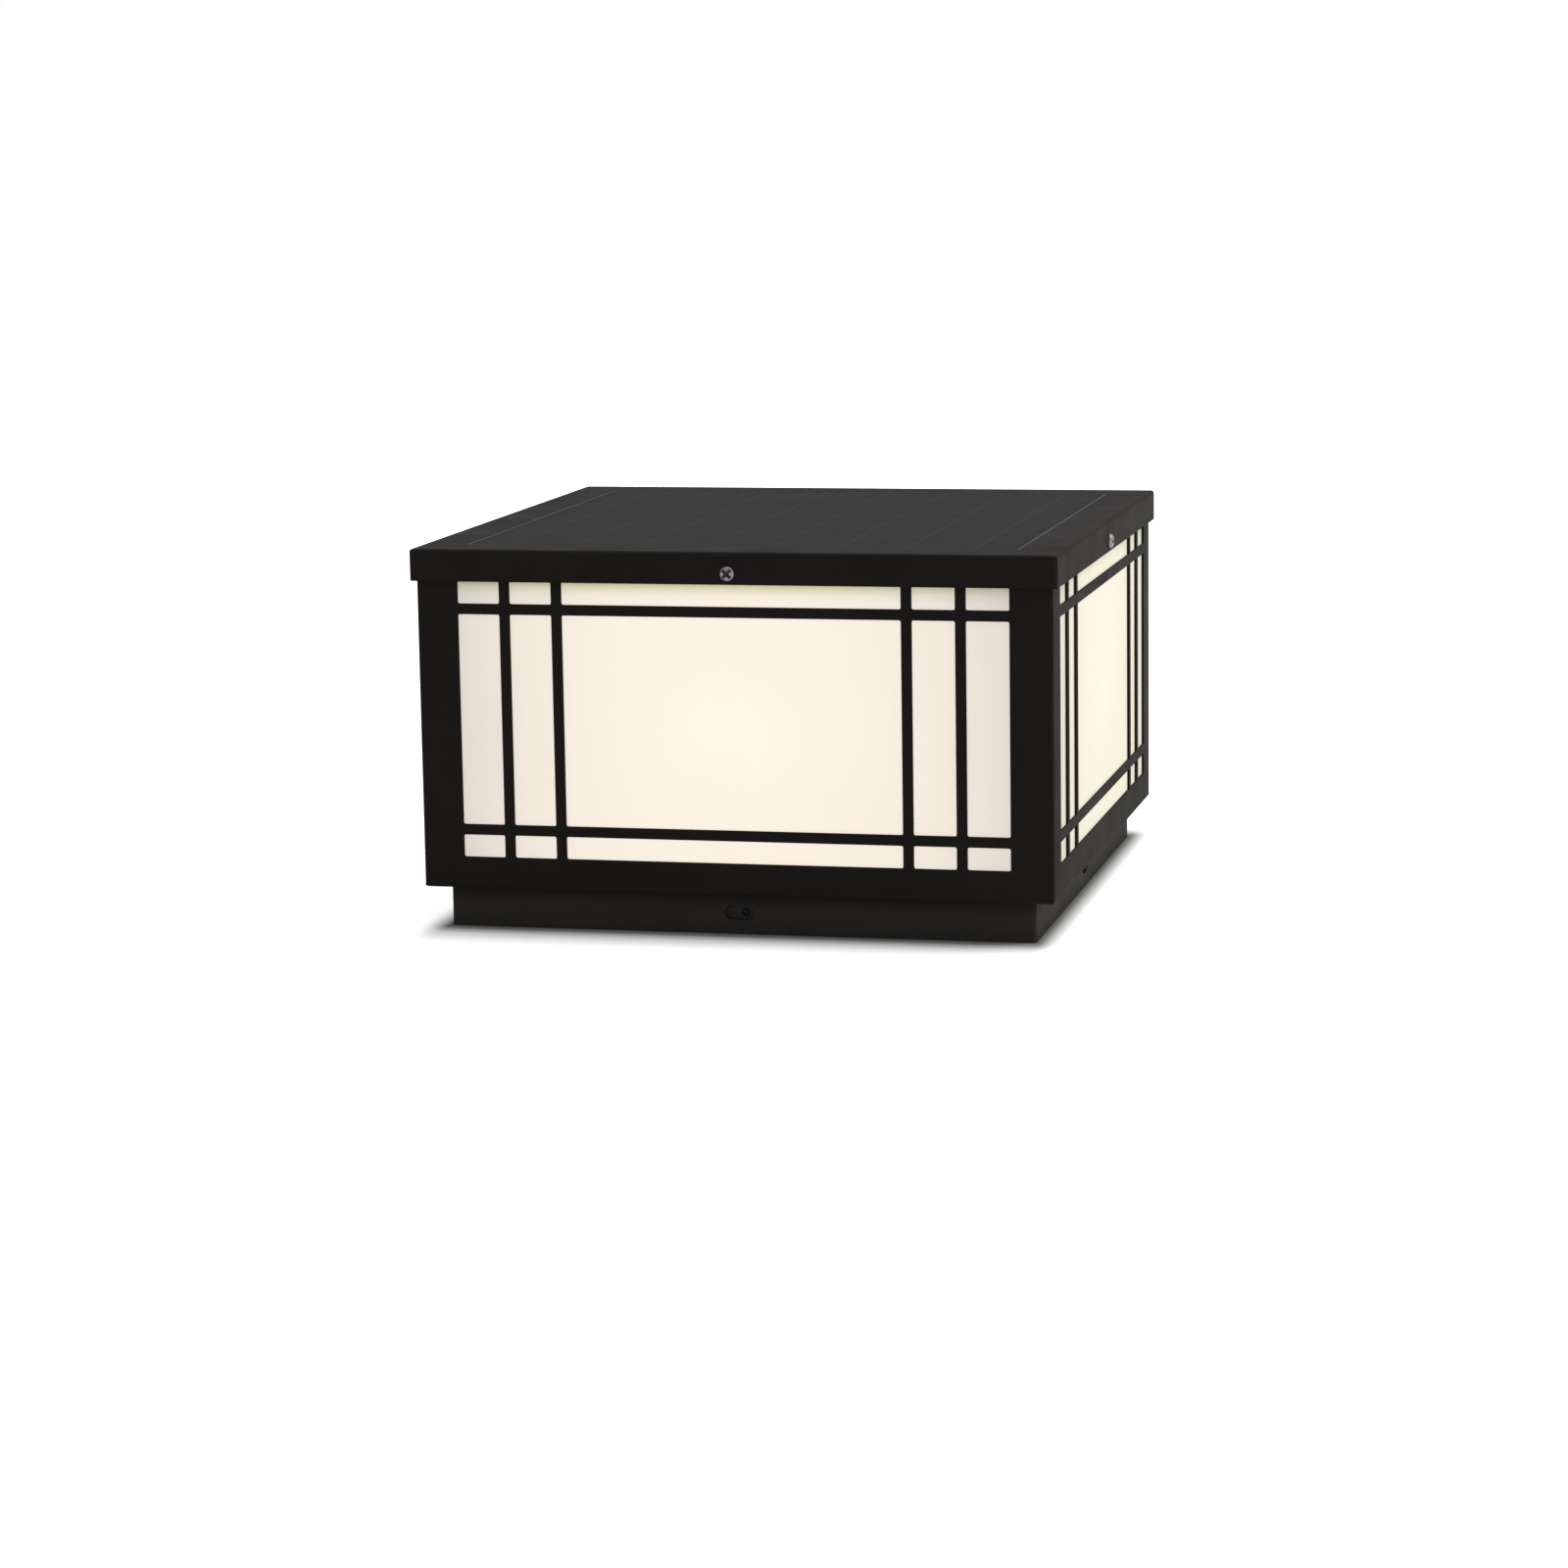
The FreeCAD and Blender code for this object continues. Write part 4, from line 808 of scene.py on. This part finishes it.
def settled_dust(name):
    """A thin dusty film, stronger on faces that look up and in slow patches, and near the ground a painted
    lift towards the dust colour that stands for light thrown up by the floor.
    """
    group, given = new_group(name, place=None, colour=(0.02, 0.02, 0.02), dust=(0.33, 0.31, 0.28),
                             amount=0.05, near_ground=0.0)
    normal = Value(add_node(group, "NewGeometry").outputs["Normal"])
    upward = spread(axes(normal)[2], 0.2, 1.0, 0.25, 1.0)
    patches = spread(noise(given.place, 22.0, 5.0, 0.62), 0.38, 0.72, 0.15, 1.0)
    specks = spread(noise(given.place, 2600.0, 1.0), 0.66, 0.74)
    # Painted floor bounce: the coat is lifted towards the dust colour on its lowest 21 mm, fully below 12 mm.
    low = spread(axes(given.place)[2], 0.012, 0.021, 1.0, 0.0)
    film = upward * patches * (given.amount + specks * given.amount) + low * given.near_ground
    return give_outputs(group, colour=mix(film, given.colour, given.dust))


def drawn_lines(name):
    """Fine lines left by drawing, turning or brushing. They run along the axis in which the given place
    changes slowest, and are an even grain where it changes alike along all three."""
    group, given = new_group(name, place=None, colour=(0.6, 0.6, 0.6), roughness=0.3, depth=1.0)
    line = noise(given.place, 1.0, 4.0, 0.65)
    part = spread(line + noise(given.place, 0.08) * 0.4, 0.4, 1.0, 0.0, 0.8)
    return give_outputs(group, colour=mix(part, given.colour, tint(given.colour, (0.72, 0.72, 0.73))),
                        roughness=given.roughness + part * 0.18, height=line * given.depth)


def opal_glow(name):
    """Light of an opal sheet lit by a core at mid height, painted as emission. Across is the lesser of |x|
    and |y|, which runs along every side alike. The light fades to the Edge colour with a power of the
    distance across. A soft spot stands before the core, as the exponential of minus the squared distance.
    Painted shade makes it darker and warmer in the last millimetres under the lid, and greyer in the corners,
    more so in the upper ones. The sheet on the right, where daylight adds most, gives the least of its own."""
    group, given = new_group(name, place=None, middle=(1.0, 0.92, 0.8), edge=(0.8, 0.72, 0.62),
                             opal=(0.6, 0.6, 0.6), half_width=0.13, core_height=0.098, lid_height=0.165)
    x, y, z = axes(given.place)
    across = reckon("MINIMUM", abs(x), abs(y))
    rise = z - given.core_height
    side = (across / given.half_width) ** 2.9
    cloud = spread(noise(given.place, 14.0), 0.3, 0.7, -0.04, 0.04)
    glow = mix(side + cloud, given.middle, given.edge)
    spot_width, spot_height = 0.036, 0.030
    spot = reckon("EXPONENT", ((across / spot_width) ** 2.0 + (abs(rise) / spot_height) ** 2.0) * -1.0)
    glow = mix(spot, glow, (0.020, 0.045, 0.040), "ADD")
    # Painted shade under the lid, darker and warmer.
    painted_lid_shade = spread(given.lid_height - z, 0.0, 0.012, 1.0, 0.0) ** 3.0
    glow = mix(painted_lid_shade, glow, (0.49, 0.49, 0.22), "MULTIPLY")
    # Painted shade in the corners, more in the upper ones.
    end = spread(abs(rise), 0.045, 0.066, kind="SMOOTHSTEP") * spread(rise, -0.01, 0.01, 0.4, 1.2)
    glow = mix(side * end, glow, (0.83, 0.90, 0.92), "MULTIPLY")
    glow = mix(reckon("GREATER_THAN", x, abs(y)), glow, (0.69, 0.74, 0.635), "MULTIPLY")
    haze = spread(noise(given.place, 260.0, 3.0, 0.55), 0.3, 0.7, 0.0, 0.06)
    return give_outputs(group, glow=glow, opal=mix(haze, given.opal, tint(given.opal, (0.9, 0.9, 0.9))),
                        height=noise(given.place, 1800.0, 1.0))


def cell_grid(name):
    """All-black solar panel: rectangular cells on a black sheet, two thin bus ribbons along each column
    and fine fingers across, all seen through a frosted film."""
    group, given = new_group(name, place=None, cell=(0.0088, 0.0087, 0.0092), sheet=(0.0065, 0.0065, 0.0068),
                             ribbon=(0.019, 0.019, 0.019), half_field=0.125, pitch_x=0.0629, pitch_y=0.0279,
                             gap=0.0015)
    blur = 0.00008
    x, y, _ = axes(given.place)
    half_gap = given.gap * 0.5
    start = given.half_field * -1.0 - half_gap
    from_x, from_y = repeated(x, given.pitch_x, start), repeated(y, given.pitch_y, start)
    in_field = reckon("LESS_THAN", reckon("MAXIMUM", abs(x), abs(y)), given.half_field)
    half_x, half_y = given.pitch_x * 0.5 - half_gap, given.pitch_y * 0.5 - half_gap
    cell = band(from_x, half_x, blur) * band(from_y, half_y, blur) * in_field
    ribbon_half, finger_half, finger_blur, finger_pitch = 0.0006, 0.00007, 0.00006, 0.0018
    ribbon = band(abs(from_x - given.pitch_x * 0.25), ribbon_half, blur) * in_field
    finger = band(repeated(y, finger_pitch), finger_half, finger_blur) * cell
    crystal = spread(noise(given.place, 18.0), 0.35, 0.65)
    lined = mix(finger * 0.28, mix(crystal, given.cell, tint(given.cell, (0.92, 0.98, 1.18))), given.ribbon)
    field = mix(cell, given.sheet, lined)
    frost = noise(given.place, 1500.0)
    smear = spread(noise(given.place, 26.0, 4.0, 0.6), 0.3, 0.7, 0.64, 0.68)
    return give_outputs(group, colour=mix(ribbon * 0.8, field, given.ribbon), roughness=smear + frost * 0.05,
                        height=frost)


def board_tracks(name):
    """Copper tracks under solder mask: straight runs on a grid, broken up cell by cell. A flat board's
    grid is x by y, and an upright one's, where Upright is 1, is x + y by height."""
    group, given = new_group(name, place=None, mask=(0.02, 0.10, 0.05), track=(0.05, 0.20, 0.09),
                             pitch=0.0026, upright=0.0)
    half_width, blur = 0.0005, 0.0001
    x, y, z = axes(given.place)
    run = band(repeated(y * (1.0 - given.upright) + z, given.pitch), half_width, blur)
    tie = band(repeated(y * given.upright + x, given.pitch * 2.0), half_width, blur)
    cells = add_node(group, "TexVoronoi", {"Vector": given.place, "Scale": 95.0}, distance="CHEBYCHEV")
    pick = reckon("GREATER_THAN", axes(Value(cells.outputs["Color"]))[0], 0.5)
    track = reckon("MAXIMUM", run * pick, tie * (1.0 - pick))
    return give_outputs(group, colour=mix(track, given.mask, given.track),
                        roughness=spread(track, 0.0, 1.0, 0.36, 0.28), height=track)


# Materials

def new_material(name):
    """A material with a Principled shader; returns material, shader and Object coordinates."""
    material = bpy.data.materials.new(name)
    material.use_nodes = True
    place = Value(add_node(material.node_tree, "TexCoord").outputs["Object"])
    return material, material.node_tree.nodes["Principled BSDF"], place


def add_bump(shader, height, strength, depth):
    bump = add_node(height, "Bump", {"Height": height, "Strength": strength, "Distance": depth})
    set_inputs(shader, {"Normal": Value(bump.outputs["Normal"])})


def piece_shade(place):
    return Value(add_node(place, "Attribute", attribute_name="shade").outputs["Fac"])


def coated(name, colour, roughness, grain, gloss, dust, bump=0.12, unevenness=0.3, near_ground=0.0):
    """Powder coat, moulding grain or rubber: grain, unevenness, a little dust, and, if asked, painted floor
    bounce light near the ground.
    """
    material, shader, place = new_material(name)
    grains = use_group(coated_grain, place, colour=colour, roughness=roughness, grain=grain,
                       unevenness=unevenness)
    # The film holds the dust and the painted floor bounce light.
    film = use_group(settled_dust, place, colour=grains.colour, amount=dust, near_ground=near_ground)
    set_inputs(shader, {"Base Color": film.colour, "Roughness": grains.roughness, "IOR": gloss})
    add_bump(shader, grains.height, bump, 0.0002)
    return material


def black_coat():
    black = tuple(bpy.context.scene.cube_light_colours.black_coat)
    # The black coat gets painted floor bounce light near the ground, which lightens the plinth.
    return coated("Black Powder Coat", black, 0.70, 1500.0, 1.12, 0.02, near_ground=0.06)


def lined_metal(name, colour, roughness, stretch, depth=1.0):
    """Drawn or plated metal with fine lines, and painted shade, a darker base colour, where the piece's shade
    is 1, as in cross recesses.
    """
    material, shader, place = new_material(name)
    mapped = Value(add_node(place, "Mapping", {"Vector": place, "Scale": stretch}).outputs["Vector"])
    lines = use_group(drawn_lines, mapped, colour=colour, roughness=roughness, depth=depth)
    # Painted shade: the base colour goes dark in the cross recesses of the screws.
    recess_shaded = mix(piece_shade(place) * 0.9, lines.colour, (0.012, 0.011, 0.011))
    set_inputs(shader, {"Base Color": recess_shaded, "Roughness": lines.roughness, "Metallic": 1.0})
    add_bump(shader, lines.height, 0.08, 0.00005)
    return material


def lit_opal():
    colours = bpy.context.scene.cube_light_colours
    material, shader, place = new_material("Lit Opal Sheet")
    glow = use_group(opal_glow, place, middle=tuple(colours.glow_middle), edge=tuple(colours.glow_edge),
                     opal=tuple(colours.opal))
    set_inputs(shader, {"Base Color": glow.opal, "Emission Color": glow.glow, "Emission Strength": 1.0,
                        "Roughness": 0.55, "IOR": 1.3})
    add_bump(shader, glow.height, 0.05, 0.0001)
    return material


def lit_chip():
    """White frame and lit yellow window, told apart by the piece's shade."""
    material, shader, place = new_material("Light Chip")
    window = piece_shade(place)
    grains = use_group(coated_grain, place, colour=mix(window, (0.80, 0.79, 0.75), (0.86, 0.62, 0.14)),
                       roughness=0.35, grain=3000.0, unevenness=0.1)
    set_inputs(shader, {"Base Color": grains.colour, "Roughness": grains.roughness, "Emission Strength": 1.0,
                        "Emission Color": mix(window, (0.0, 0.0, 0.0), (0.95, 0.78, 0.40))})
    add_bump(shader, grains.height, 0.2, 0.0001)
    return material


def solar_film():
    sizes = bpy.context.scene.cube_light_sizes
    material, shader, place = new_material("Solar Panel Film")
    pitch = sizes.cell_field + sizes.cell_gap
    cells = use_group(cell_grid, place, half_field=sizes.cell_field / 2, pitch_x=pitch / sizes.cell_columns,
                      pitch_y=pitch / sizes.cell_rows, gap=sizes.cell_gap)
    set_inputs(shader, {"Base Color": cells.colour, "Roughness": cells.roughness, "IOR": 1.12})
    add_bump(shader, cells.height, 0.15, 0.0001)
    return material


def board(name, **values):
    material, shader, place = new_material(name)
    tracks = use_group(board_tracks, place, **values)
    set_inputs(shader, {"Base Color": tracks.colour, "Roughness": tracks.roughness})
    add_bump(shader, tracks.height, 0.3, 0.00005)
    return material


def white_board():
    return board("Light Board", mask=(0.82, 0.82, 0.80), track=(0.74, 0.74, 0.71), upright=1.0)


# Each slot's material: how it is made and with which values. For a coat these are its name, colour,
# roughness, grain, IOR, dust, bump and unevenness, and for a metal its name, colour, roughness, stretch
# and depth.
FINISHES = {
    "black_powder_coat": (black_coat,),
    "white_coated_steel": (coated, "White Powder Coat", (0.72, 0.71, 0.68), 0.42, 1500.0, 1.45, 0.02, 0.12,
                           0.06),
    "zinc_plated": (lined_metal, "Zinc Plate", (0.58, 0.58, 0.56), 0.32, (700, 700, 700)),
    "stainless_steel": (lined_metal, "Stainless Steel", (0.22, 0.195, 0.20), 0.34, (1500, 1500, 1500)),
    "black_oxide": (lined_metal, "Black Oxide Steel", (0.018, 0.017, 0.017), 0.42, (900, 900, 900)),
    "aluminium": (lined_metal, "Aluminium", (0.58, 0.58, 0.59), 0.36, (1400, 1400, 30)),
    "opal_acrylic": (lit_opal,),
    "black_rubber": (coated, "Black Rubber", (0.012, 0.012, 0.012), 0.66, 1100.0, 1.35, 0.05, 0.25),
    "nylon": (coated, "Black Nylon", (0.030, 0.030, 0.031), 0.45, 1800.0, 1.4, 0.03),
    "black_moulding": (coated, "Black Moulding", (0.022, 0.022, 0.023), 0.50, 2200.0, 1.4, 0.02, 0.2),
    "panel_backboard": (coated, "Panel Backboard", (0.012, 0.012, 0.013), 0.48, 900.0, 1.4, 0.02),
    "panel_cells": (solar_film,),
    "panel_front": (solar_film,),
    "circuit_board": (board, "Controller Board"),
    "white_circuit_board": (white_board,),
    "board_parts": (coated, "Board Part", (0.020, 0.021, 0.024), 0.38, 1500.0, 1.45, 0.01),
    "light_chip": (lit_chip,),
    "cell_sleeve": (coated, "Cell Sleeve", (0.03, 0.16, 0.38), 0.25, 500.0, 1.45, 0.01, 0.06),
    "nickel": (lined_metal, "Nickel", (0.66, 0.62, 0.54), 0.22, (900, 40, 900), 0.6),
    "lead_insulation": (coated, "Lead Insulation", (0.33, 0.022, 0.018), 0.42, 800.0, 1.42, 0.02),
    "switch_metal": (lined_metal, "Switch Metal", (0.56, 0.56, 0.57), 0.24, (60, 60, 2400)),
    "switch_red": (coated, "Red Button", (0.42, 0.025, 0.018), 0.36, 1300.0, 1.45, 0.02),
}
MADE_FINISHES = {}


def finish_for(slot):
    """The material of a record's slot, made once."""
    if slot not in MADE_FINISHES:
        make, *values = FINISHES[slot]
        MADE_FINISHES[slot] = make(*values)
    return MADE_FINISHES[slot]


# Operators

class CUBELIGHT_OT_finishes(Operator):
    """Give every piece of the construction the finish of its slot"""

    bl_idname = "cube_light.finishes"
    bl_label = "Finishes"

    def execute(self, context):
        for name, piece in frame["nodes"].items():
            piece.data.materials.clear()
            piece.data.materials.append(finish_for(SLOT_OF[name]))
        return {"FINISHED"}


class CUBELIGHT_OT_lid(Operator):
    """Make the folded lid with its pan"""

    bl_idname = "cube_light.lid"
    bl_label = "Lid"

    def execute(self, context):
        make_piece("lid_shell", lid_surface(context.scene.cube_light_sizes), ["lid_tray"])
        return {"FINISHED"}


class CUBELIGHT_OT_solar_panel(Operator):
    """Make the film-faced solar panel in the lid"""

    bl_idname = "cube_light.solar_panel"
    bl_label = "Solar Panel"

    def execute(self, context):
        sizes = context.scene.cube_light_sizes
        corner = sizes.pan_corner - (sizes.pan_width / 2 - GLASS_HIGH.x)
        surface = plate_surface(GLASS_HIGH.x, corner, GLASS_LOW.z, GLASS_HIGH.z, sizes.soft_edge)
        make_piece("panel_film", surface, ["solar_front_sheet"])
        return {"FINISHED"}


class CUBELIGHT_OT_side_panels(Operator):
    """Make the four folded side panels with their lattice windows"""

    bl_idname = "cube_light.side_panels"
    bl_label = "Side Panels"

    def execute(self, context):
        sizes = context.scene.cube_light_sizes
        surface, marks = panel_surface(sizes)
        make_on_sides("lattice_", "side_panel_", surface, edge=sizes.edge, corner=sizes.pane_corner,
                      marks=marks)
        return {"FINISHED"}


class CUBELIGHT_OT_plinth(Operator):
    """Make the folded plinth with its slots"""

    bl_idname = "cube_light.plinth"
    bl_label = "Plinth"

    def execute(self, context):
        sizes = context.scene.cube_light_sizes
        make_piece("plinth_band", collar_surface(sizes), ["plinth_collar"], edge=sizes.edge)
        return {"FINISHED"}


class CUBELIGHT_OT_diffusers(Operator):
    """Make the four opal sheets behind the lattices"""

    bl_idname = "cube_light.diffusers"
    bl_label = "Opal Sheets"

    def execute(self, context):
        sizes = context.scene.cube_light_sizes
        make_on_sides("opal_", "diffuser_", diffuser_surface(sizes), edge=sizes.soft_edge)
        return {"FINISHED"}


class CUBELIGHT_OT_screws(Operator):
    """Make the cross-head screws and the set screws in the plinth's slots"""

    bl_idname = "cube_light.screws"
    bl_label = "Screws"

    def execute(self, context):
        sizes = context.scene.cube_light_sizes
        first_turn, more_turn = 0.45, 1.9
        for node, way, head, rise, shank, around, steps in (
                ("lid_screws", "out", sizes.screw_head, sizes.screw_head_height, sizes.screw_shank, 96, 32),
                ("cover_screws", "down", 0.0028, 0.0022, 0.0015, 48, 16),
                ("core_screws", "down", 0.0028, 0.0022, 0.0015, 48, 16),
                ("board_screws", "down", 0.0023, 0.0016, 0.00125, 48, 16),
                ("light_board_screws", "out", 0.0023, 0.0016, 0.00125, 48, 16)):
            heads = place_each(node, way, lambda size, count: cross_head_screw(
                sizes, head, rise, shank, size[2] - rise, first_turn + more_turn * count, around, steps))
            make_piece(node + "_heads", heads, [node])
        set_screws = place_each("grub_screws", "out", lambda size, count: set_screw(
            sizes.screw_shank, size[2], sizes.screw_shank, sizes.edge * 1.5))
        make_piece("plinth_set_screws", set_screws, ["grub_screws"])
        return {"FINISHED"}


class CUBELIGHT_OT_nuts(Operator):
    """Make the nuts, the threaded studs and the rivets"""

    bl_idname = "cube_light.nuts"
    bl_label = "Nuts, Studs and Rivets"

    def execute(self, context):
        for node, way, bore in (("stud_nuts", "in", 0.0015), ("lid_nuts", "in", 0.0020),
                                ("box_nuts", "down", 0.0020), ("switch_nut", "up", 0.0058)):
            nuts = place_each(node, way, lambda size, count: hexagon_nut(
                size[:2].min(), size[2], bore, pi / 6 if size[1] > size[0] else 0.0))
            make_piece(node + "_chamfered", nuts, [node])
        pitch = context.scene.cube_light_sizes.thread_pitch
        for node, way, threaded in (("panel_studs", "in", 0.0045), ("box_studs", "down", 0.008)):
            studs = place_each(node, way, lambda size, count: threaded_stud(
                size[0] / 2, size[2], threaded, pitch))
            make_piece(node + "_threaded", studs, [node])
        rise, shank, bulb, bulb_length = 0.0014, 0.0020, 0.0028, 0.0030
        rivets = place_each("floor_rivets", "up", lambda size, count: blind_rivet(
            size[0] / 2, rise, shank, bulb, bulb_length, size[2] - rise - bulb_length))
        make_piece("floor_rivet_domes", rivets, ["floor_rivets"])
        return {"FINISHED"}


class CUBELIGHT_OT_light_source(Operator):
    """Make the light chips and the push button under the lamp core"""

    bl_idname = "cube_light.light_source"
    bl_label = "Light Source"

    def execute(self, context):
        chips = place_each("light_chips", "out", lambda size, count: light_chip(*size))
        make_piece("chip_windows", chips, ["light_chips"])
        rim = 0.0010
        button = place_each("switch_button", "down", lambda size, count: push_button(
            size[0] / 2, size[2], rim))
        make_piece("button_cap", button, ["switch_button"])
        return {"FINISHED"}


def background_rays(tree):
    """1 for the rays that show the background: from the camera, off gloss and through glass."""
    path = add_node(tree, "LightPath").outputs
    camera, glossy, through = (Value(path["Is %s Ray" % kind])
                               for kind in ("Camera", "Glossy", "Transmission"))
    return reckon("MAXIMUM", camera, reckon("MAXIMUM", glossy, through))


def ellipse(across, wide, along, deep):
    """Root of (across / wide) squared plus (along / deep) squared."""
    return reckon("SQRT", (across / wide) ** 2.0 + (along / deep) ** 2.0)


def camera_matrix(stage):
    """Camera axes from yaw, pitch and roll, as right, up and backwards columns."""
    yaw, pitch, roll = stage.camera_yaw, stage.camera_pitch, stage.camera_roll
    forward = Vector((-sin(yaw) * cos(pitch), cos(yaw) * cos(pitch), sin(pitch)))
    level_right = Vector((cos(yaw), sin(yaw), 0))
    level_up = level_right.cross(forward)
    right = level_right * cos(roll) + level_up * sin(roll)
    upward = -level_right * sin(roll) + level_up * cos(roll)
    turn = Matrix((right, upward, -forward)).transposed().to_4x4()
    return Matrix.Translation(Vector(stage.camera_place)) @ turn


class CUBELIGHT_OT_stage(Operator):
    """Add the floor, the world, the lamps and the camera"""

    bl_idname = "cube_light.stage"
    bl_label = "Stage"

    def execute(self, context):
        scene = context.scene
        scene.view_settings.view_transform = "Standard"
        self.add_floor(scene)
        self.add_world(scene)
        self.add_lamp(scene, "key_lamp", (1.9, 0.5, 1.4), 1.1, 22, (1.0, 0.985, 0.95))
        self.add_lamp(scene, "top_lamp", (0.6, 0.3, 2.1), 1.6, 18, (1.0, 1.0, 1.0))
        self.add_camera(scene)
        return {"FINISHED"}

    def add_floor(self, scene):
        """A floor that is white away from the plinth, with a painted contact shadow where the plinth meets
        it. The painted shadow darkens its paint over 11 mm beside the plinth and 18 mm before it, near brings
        up its own light over
        14.5 and 50 mm, and away brings up the rest of that light from 0.15 to 0.9 m."""
        far = 6
        mesh = bpy.data.meshes.new("floor")
        mesh.from_pydata([(-far, -far, 0), (far, -far, 0), (far, far, 0), (-far, far, 0)], [], [(0, 1, 2, 3)])
        floor = bpy.data.objects.new("floor", mesh)
        scene.collection.objects.link(floor)
        material, shader, place = new_material("Pale Floor")
        x, y, _ = axes(place)
        beside = reckon("MAXIMUM", abs(x) - COLLAR_HIGH.x, 0.0)
        before = reckon("MAXIMUM", abs(y) - COLLAR_HIGH.y, 0.0)
        # Painted contact shadow: the floor's paint darkens near the plinth's foot.
        contact_shadow = spread(ellipse(beside, 0.011, before, 0.018), 0.0, 1.0, 0.22, 1.0)
        pale = tuple(scene.cube_light_colours.floor)
        # The dark colour of the painted contact shadow.
        under = tuple(value * 0.05 for value in pale)
        near = spread(ellipse(beside, 0.0145, before, 0.050), 0.12, 1.0, 0.0, 0.68)
        away = spread(reckon("MAXIMUM", beside, before), 0.15, 0.90, 0.0, 0.65, "SMOOTHSTEP")
        set_inputs(shader, {"Base Color": mix(contact_shadow, under, pale), "Roughness": 0.9,
                            "Specular IOR Level": 0.0, "Emission Color": (1.0, 1.0, 1.0),
                            "Emission Strength": background_rays(material.node_tree) * (near + away)})
        mesh.materials.append(material)

    def add_world(self, scene):
        """White for the rays that show the background, and softer for the light on the object."""
        scene.world = bpy.data.worlds.new("Studio")
        scene.world.use_nodes = True
        tree = scene.world.node_tree
        strength = spread(background_rays(tree), 0.0, 1.0, 0.62, 1.0)
        set_inputs(tree.nodes["Background"], {"Color": (1.0, 1.0, 1.0), "Strength": strength})

    def add_lamp(self, scene, name, place, size, power, tone):
        """A round lamp that shines on the middle of the object."""
        lamp = bpy.data.lights.new(name, "AREA")
        lamp.shape = "DISK"
        lamp.size = size
        lamp.energy = power
        lamp.color = tone
        lamp_object = bpy.data.objects.new(name, lamp)
        scene.collection.objects.link(lamp_object)
        direction = Vector((0, 0, 0.1)) - Vector(place)
        lamp_object.location = place
        lamp_object.rotation_euler = direction.to_track_quat("-Z", "Y").to_euler()

    def add_camera(self, scene):
        """The camera at the photograph's place and turn."""
        stage = scene.cube_light_stage
        camera = bpy.data.cameras.new("photo_camera")
        camera.sensor_width = stage.sensor
        camera.lens = stage.focal_pixels / stage.picture_pixels * stage.sensor
        camera.clip_end = 50
        camera_object = bpy.data.objects.new("photo_camera", camera)
        scene.collection.objects.link(camera_object)
        camera_object.matrix_world = camera_matrix(stage)
        scene.camera = camera_object


OPERATORS = (
    CUBELIGHT_OT_finishes,
    CUBELIGHT_OT_lid,
    CUBELIGHT_OT_solar_panel,
    CUBELIGHT_OT_side_panels,
    CUBELIGHT_OT_plinth,
    CUBELIGHT_OT_diffusers,
    CUBELIGHT_OT_screws,
    CUBELIGHT_OT_nuts,
    CUBELIGHT_OT_light_source,
    CUBELIGHT_OT_stage,
)


class CUBELIGHT_PT_panel(Panel):
    """Lists the steps and settings of the light"""

    bl_idname = "CUBELIGHT_PT_panel"
    bl_label = "Cube Light"
    bl_space_type = "VIEW_3D"
    bl_region_type = "UI"
    bl_category = "Cube Light"

    def draw(self, context):
        for operator in OPERATORS:
            self.layout.operator(operator.bl_idname)
        scene = context.scene
        for group in (scene.cube_light_sizes, scene.cube_light_colours, scene.cube_light_stage):
            for setting in group.bl_rna.properties.keys():
                if setting not in ("rna_type", "name"):
                    self.layout.prop(group, setting)


CLASSES = (CubeLightSizes, CubeLightColours, CubeLightStage) + OPERATORS + (CUBELIGHT_PT_panel,)


def register():
    for item in CLASSES:
        bpy.utils.register_class(item)
    bpy.types.Scene.cube_light_sizes = PointerProperty(type=CubeLightSizes)
    bpy.types.Scene.cube_light_colours = PointerProperty(type=CubeLightColours)
    bpy.types.Scene.cube_light_stage = PointerProperty(type=CubeLightStage)


def unregister():
    del bpy.types.Scene.cube_light_stage
    del bpy.types.Scene.cube_light_colours
    del bpy.types.Scene.cube_light_sizes
    for item in reversed(CLASSES):
        bpy.utils.unregister_class(item)


def main():
    register()
    bpy.ops.cube_light.finishes()
    bpy.ops.cube_light.lid()
    bpy.ops.cube_light.solar_panel()
    bpy.ops.cube_light.side_panels()
    bpy.ops.cube_light.plinth()
    bpy.ops.cube_light.diffusers()
    bpy.ops.cube_light.screws()
    bpy.ops.cube_light.nuts()
    bpy.ops.cube_light.light_source()
    bpy.ops.cube_light.stage()


if __name__ == "__main__":
    main()
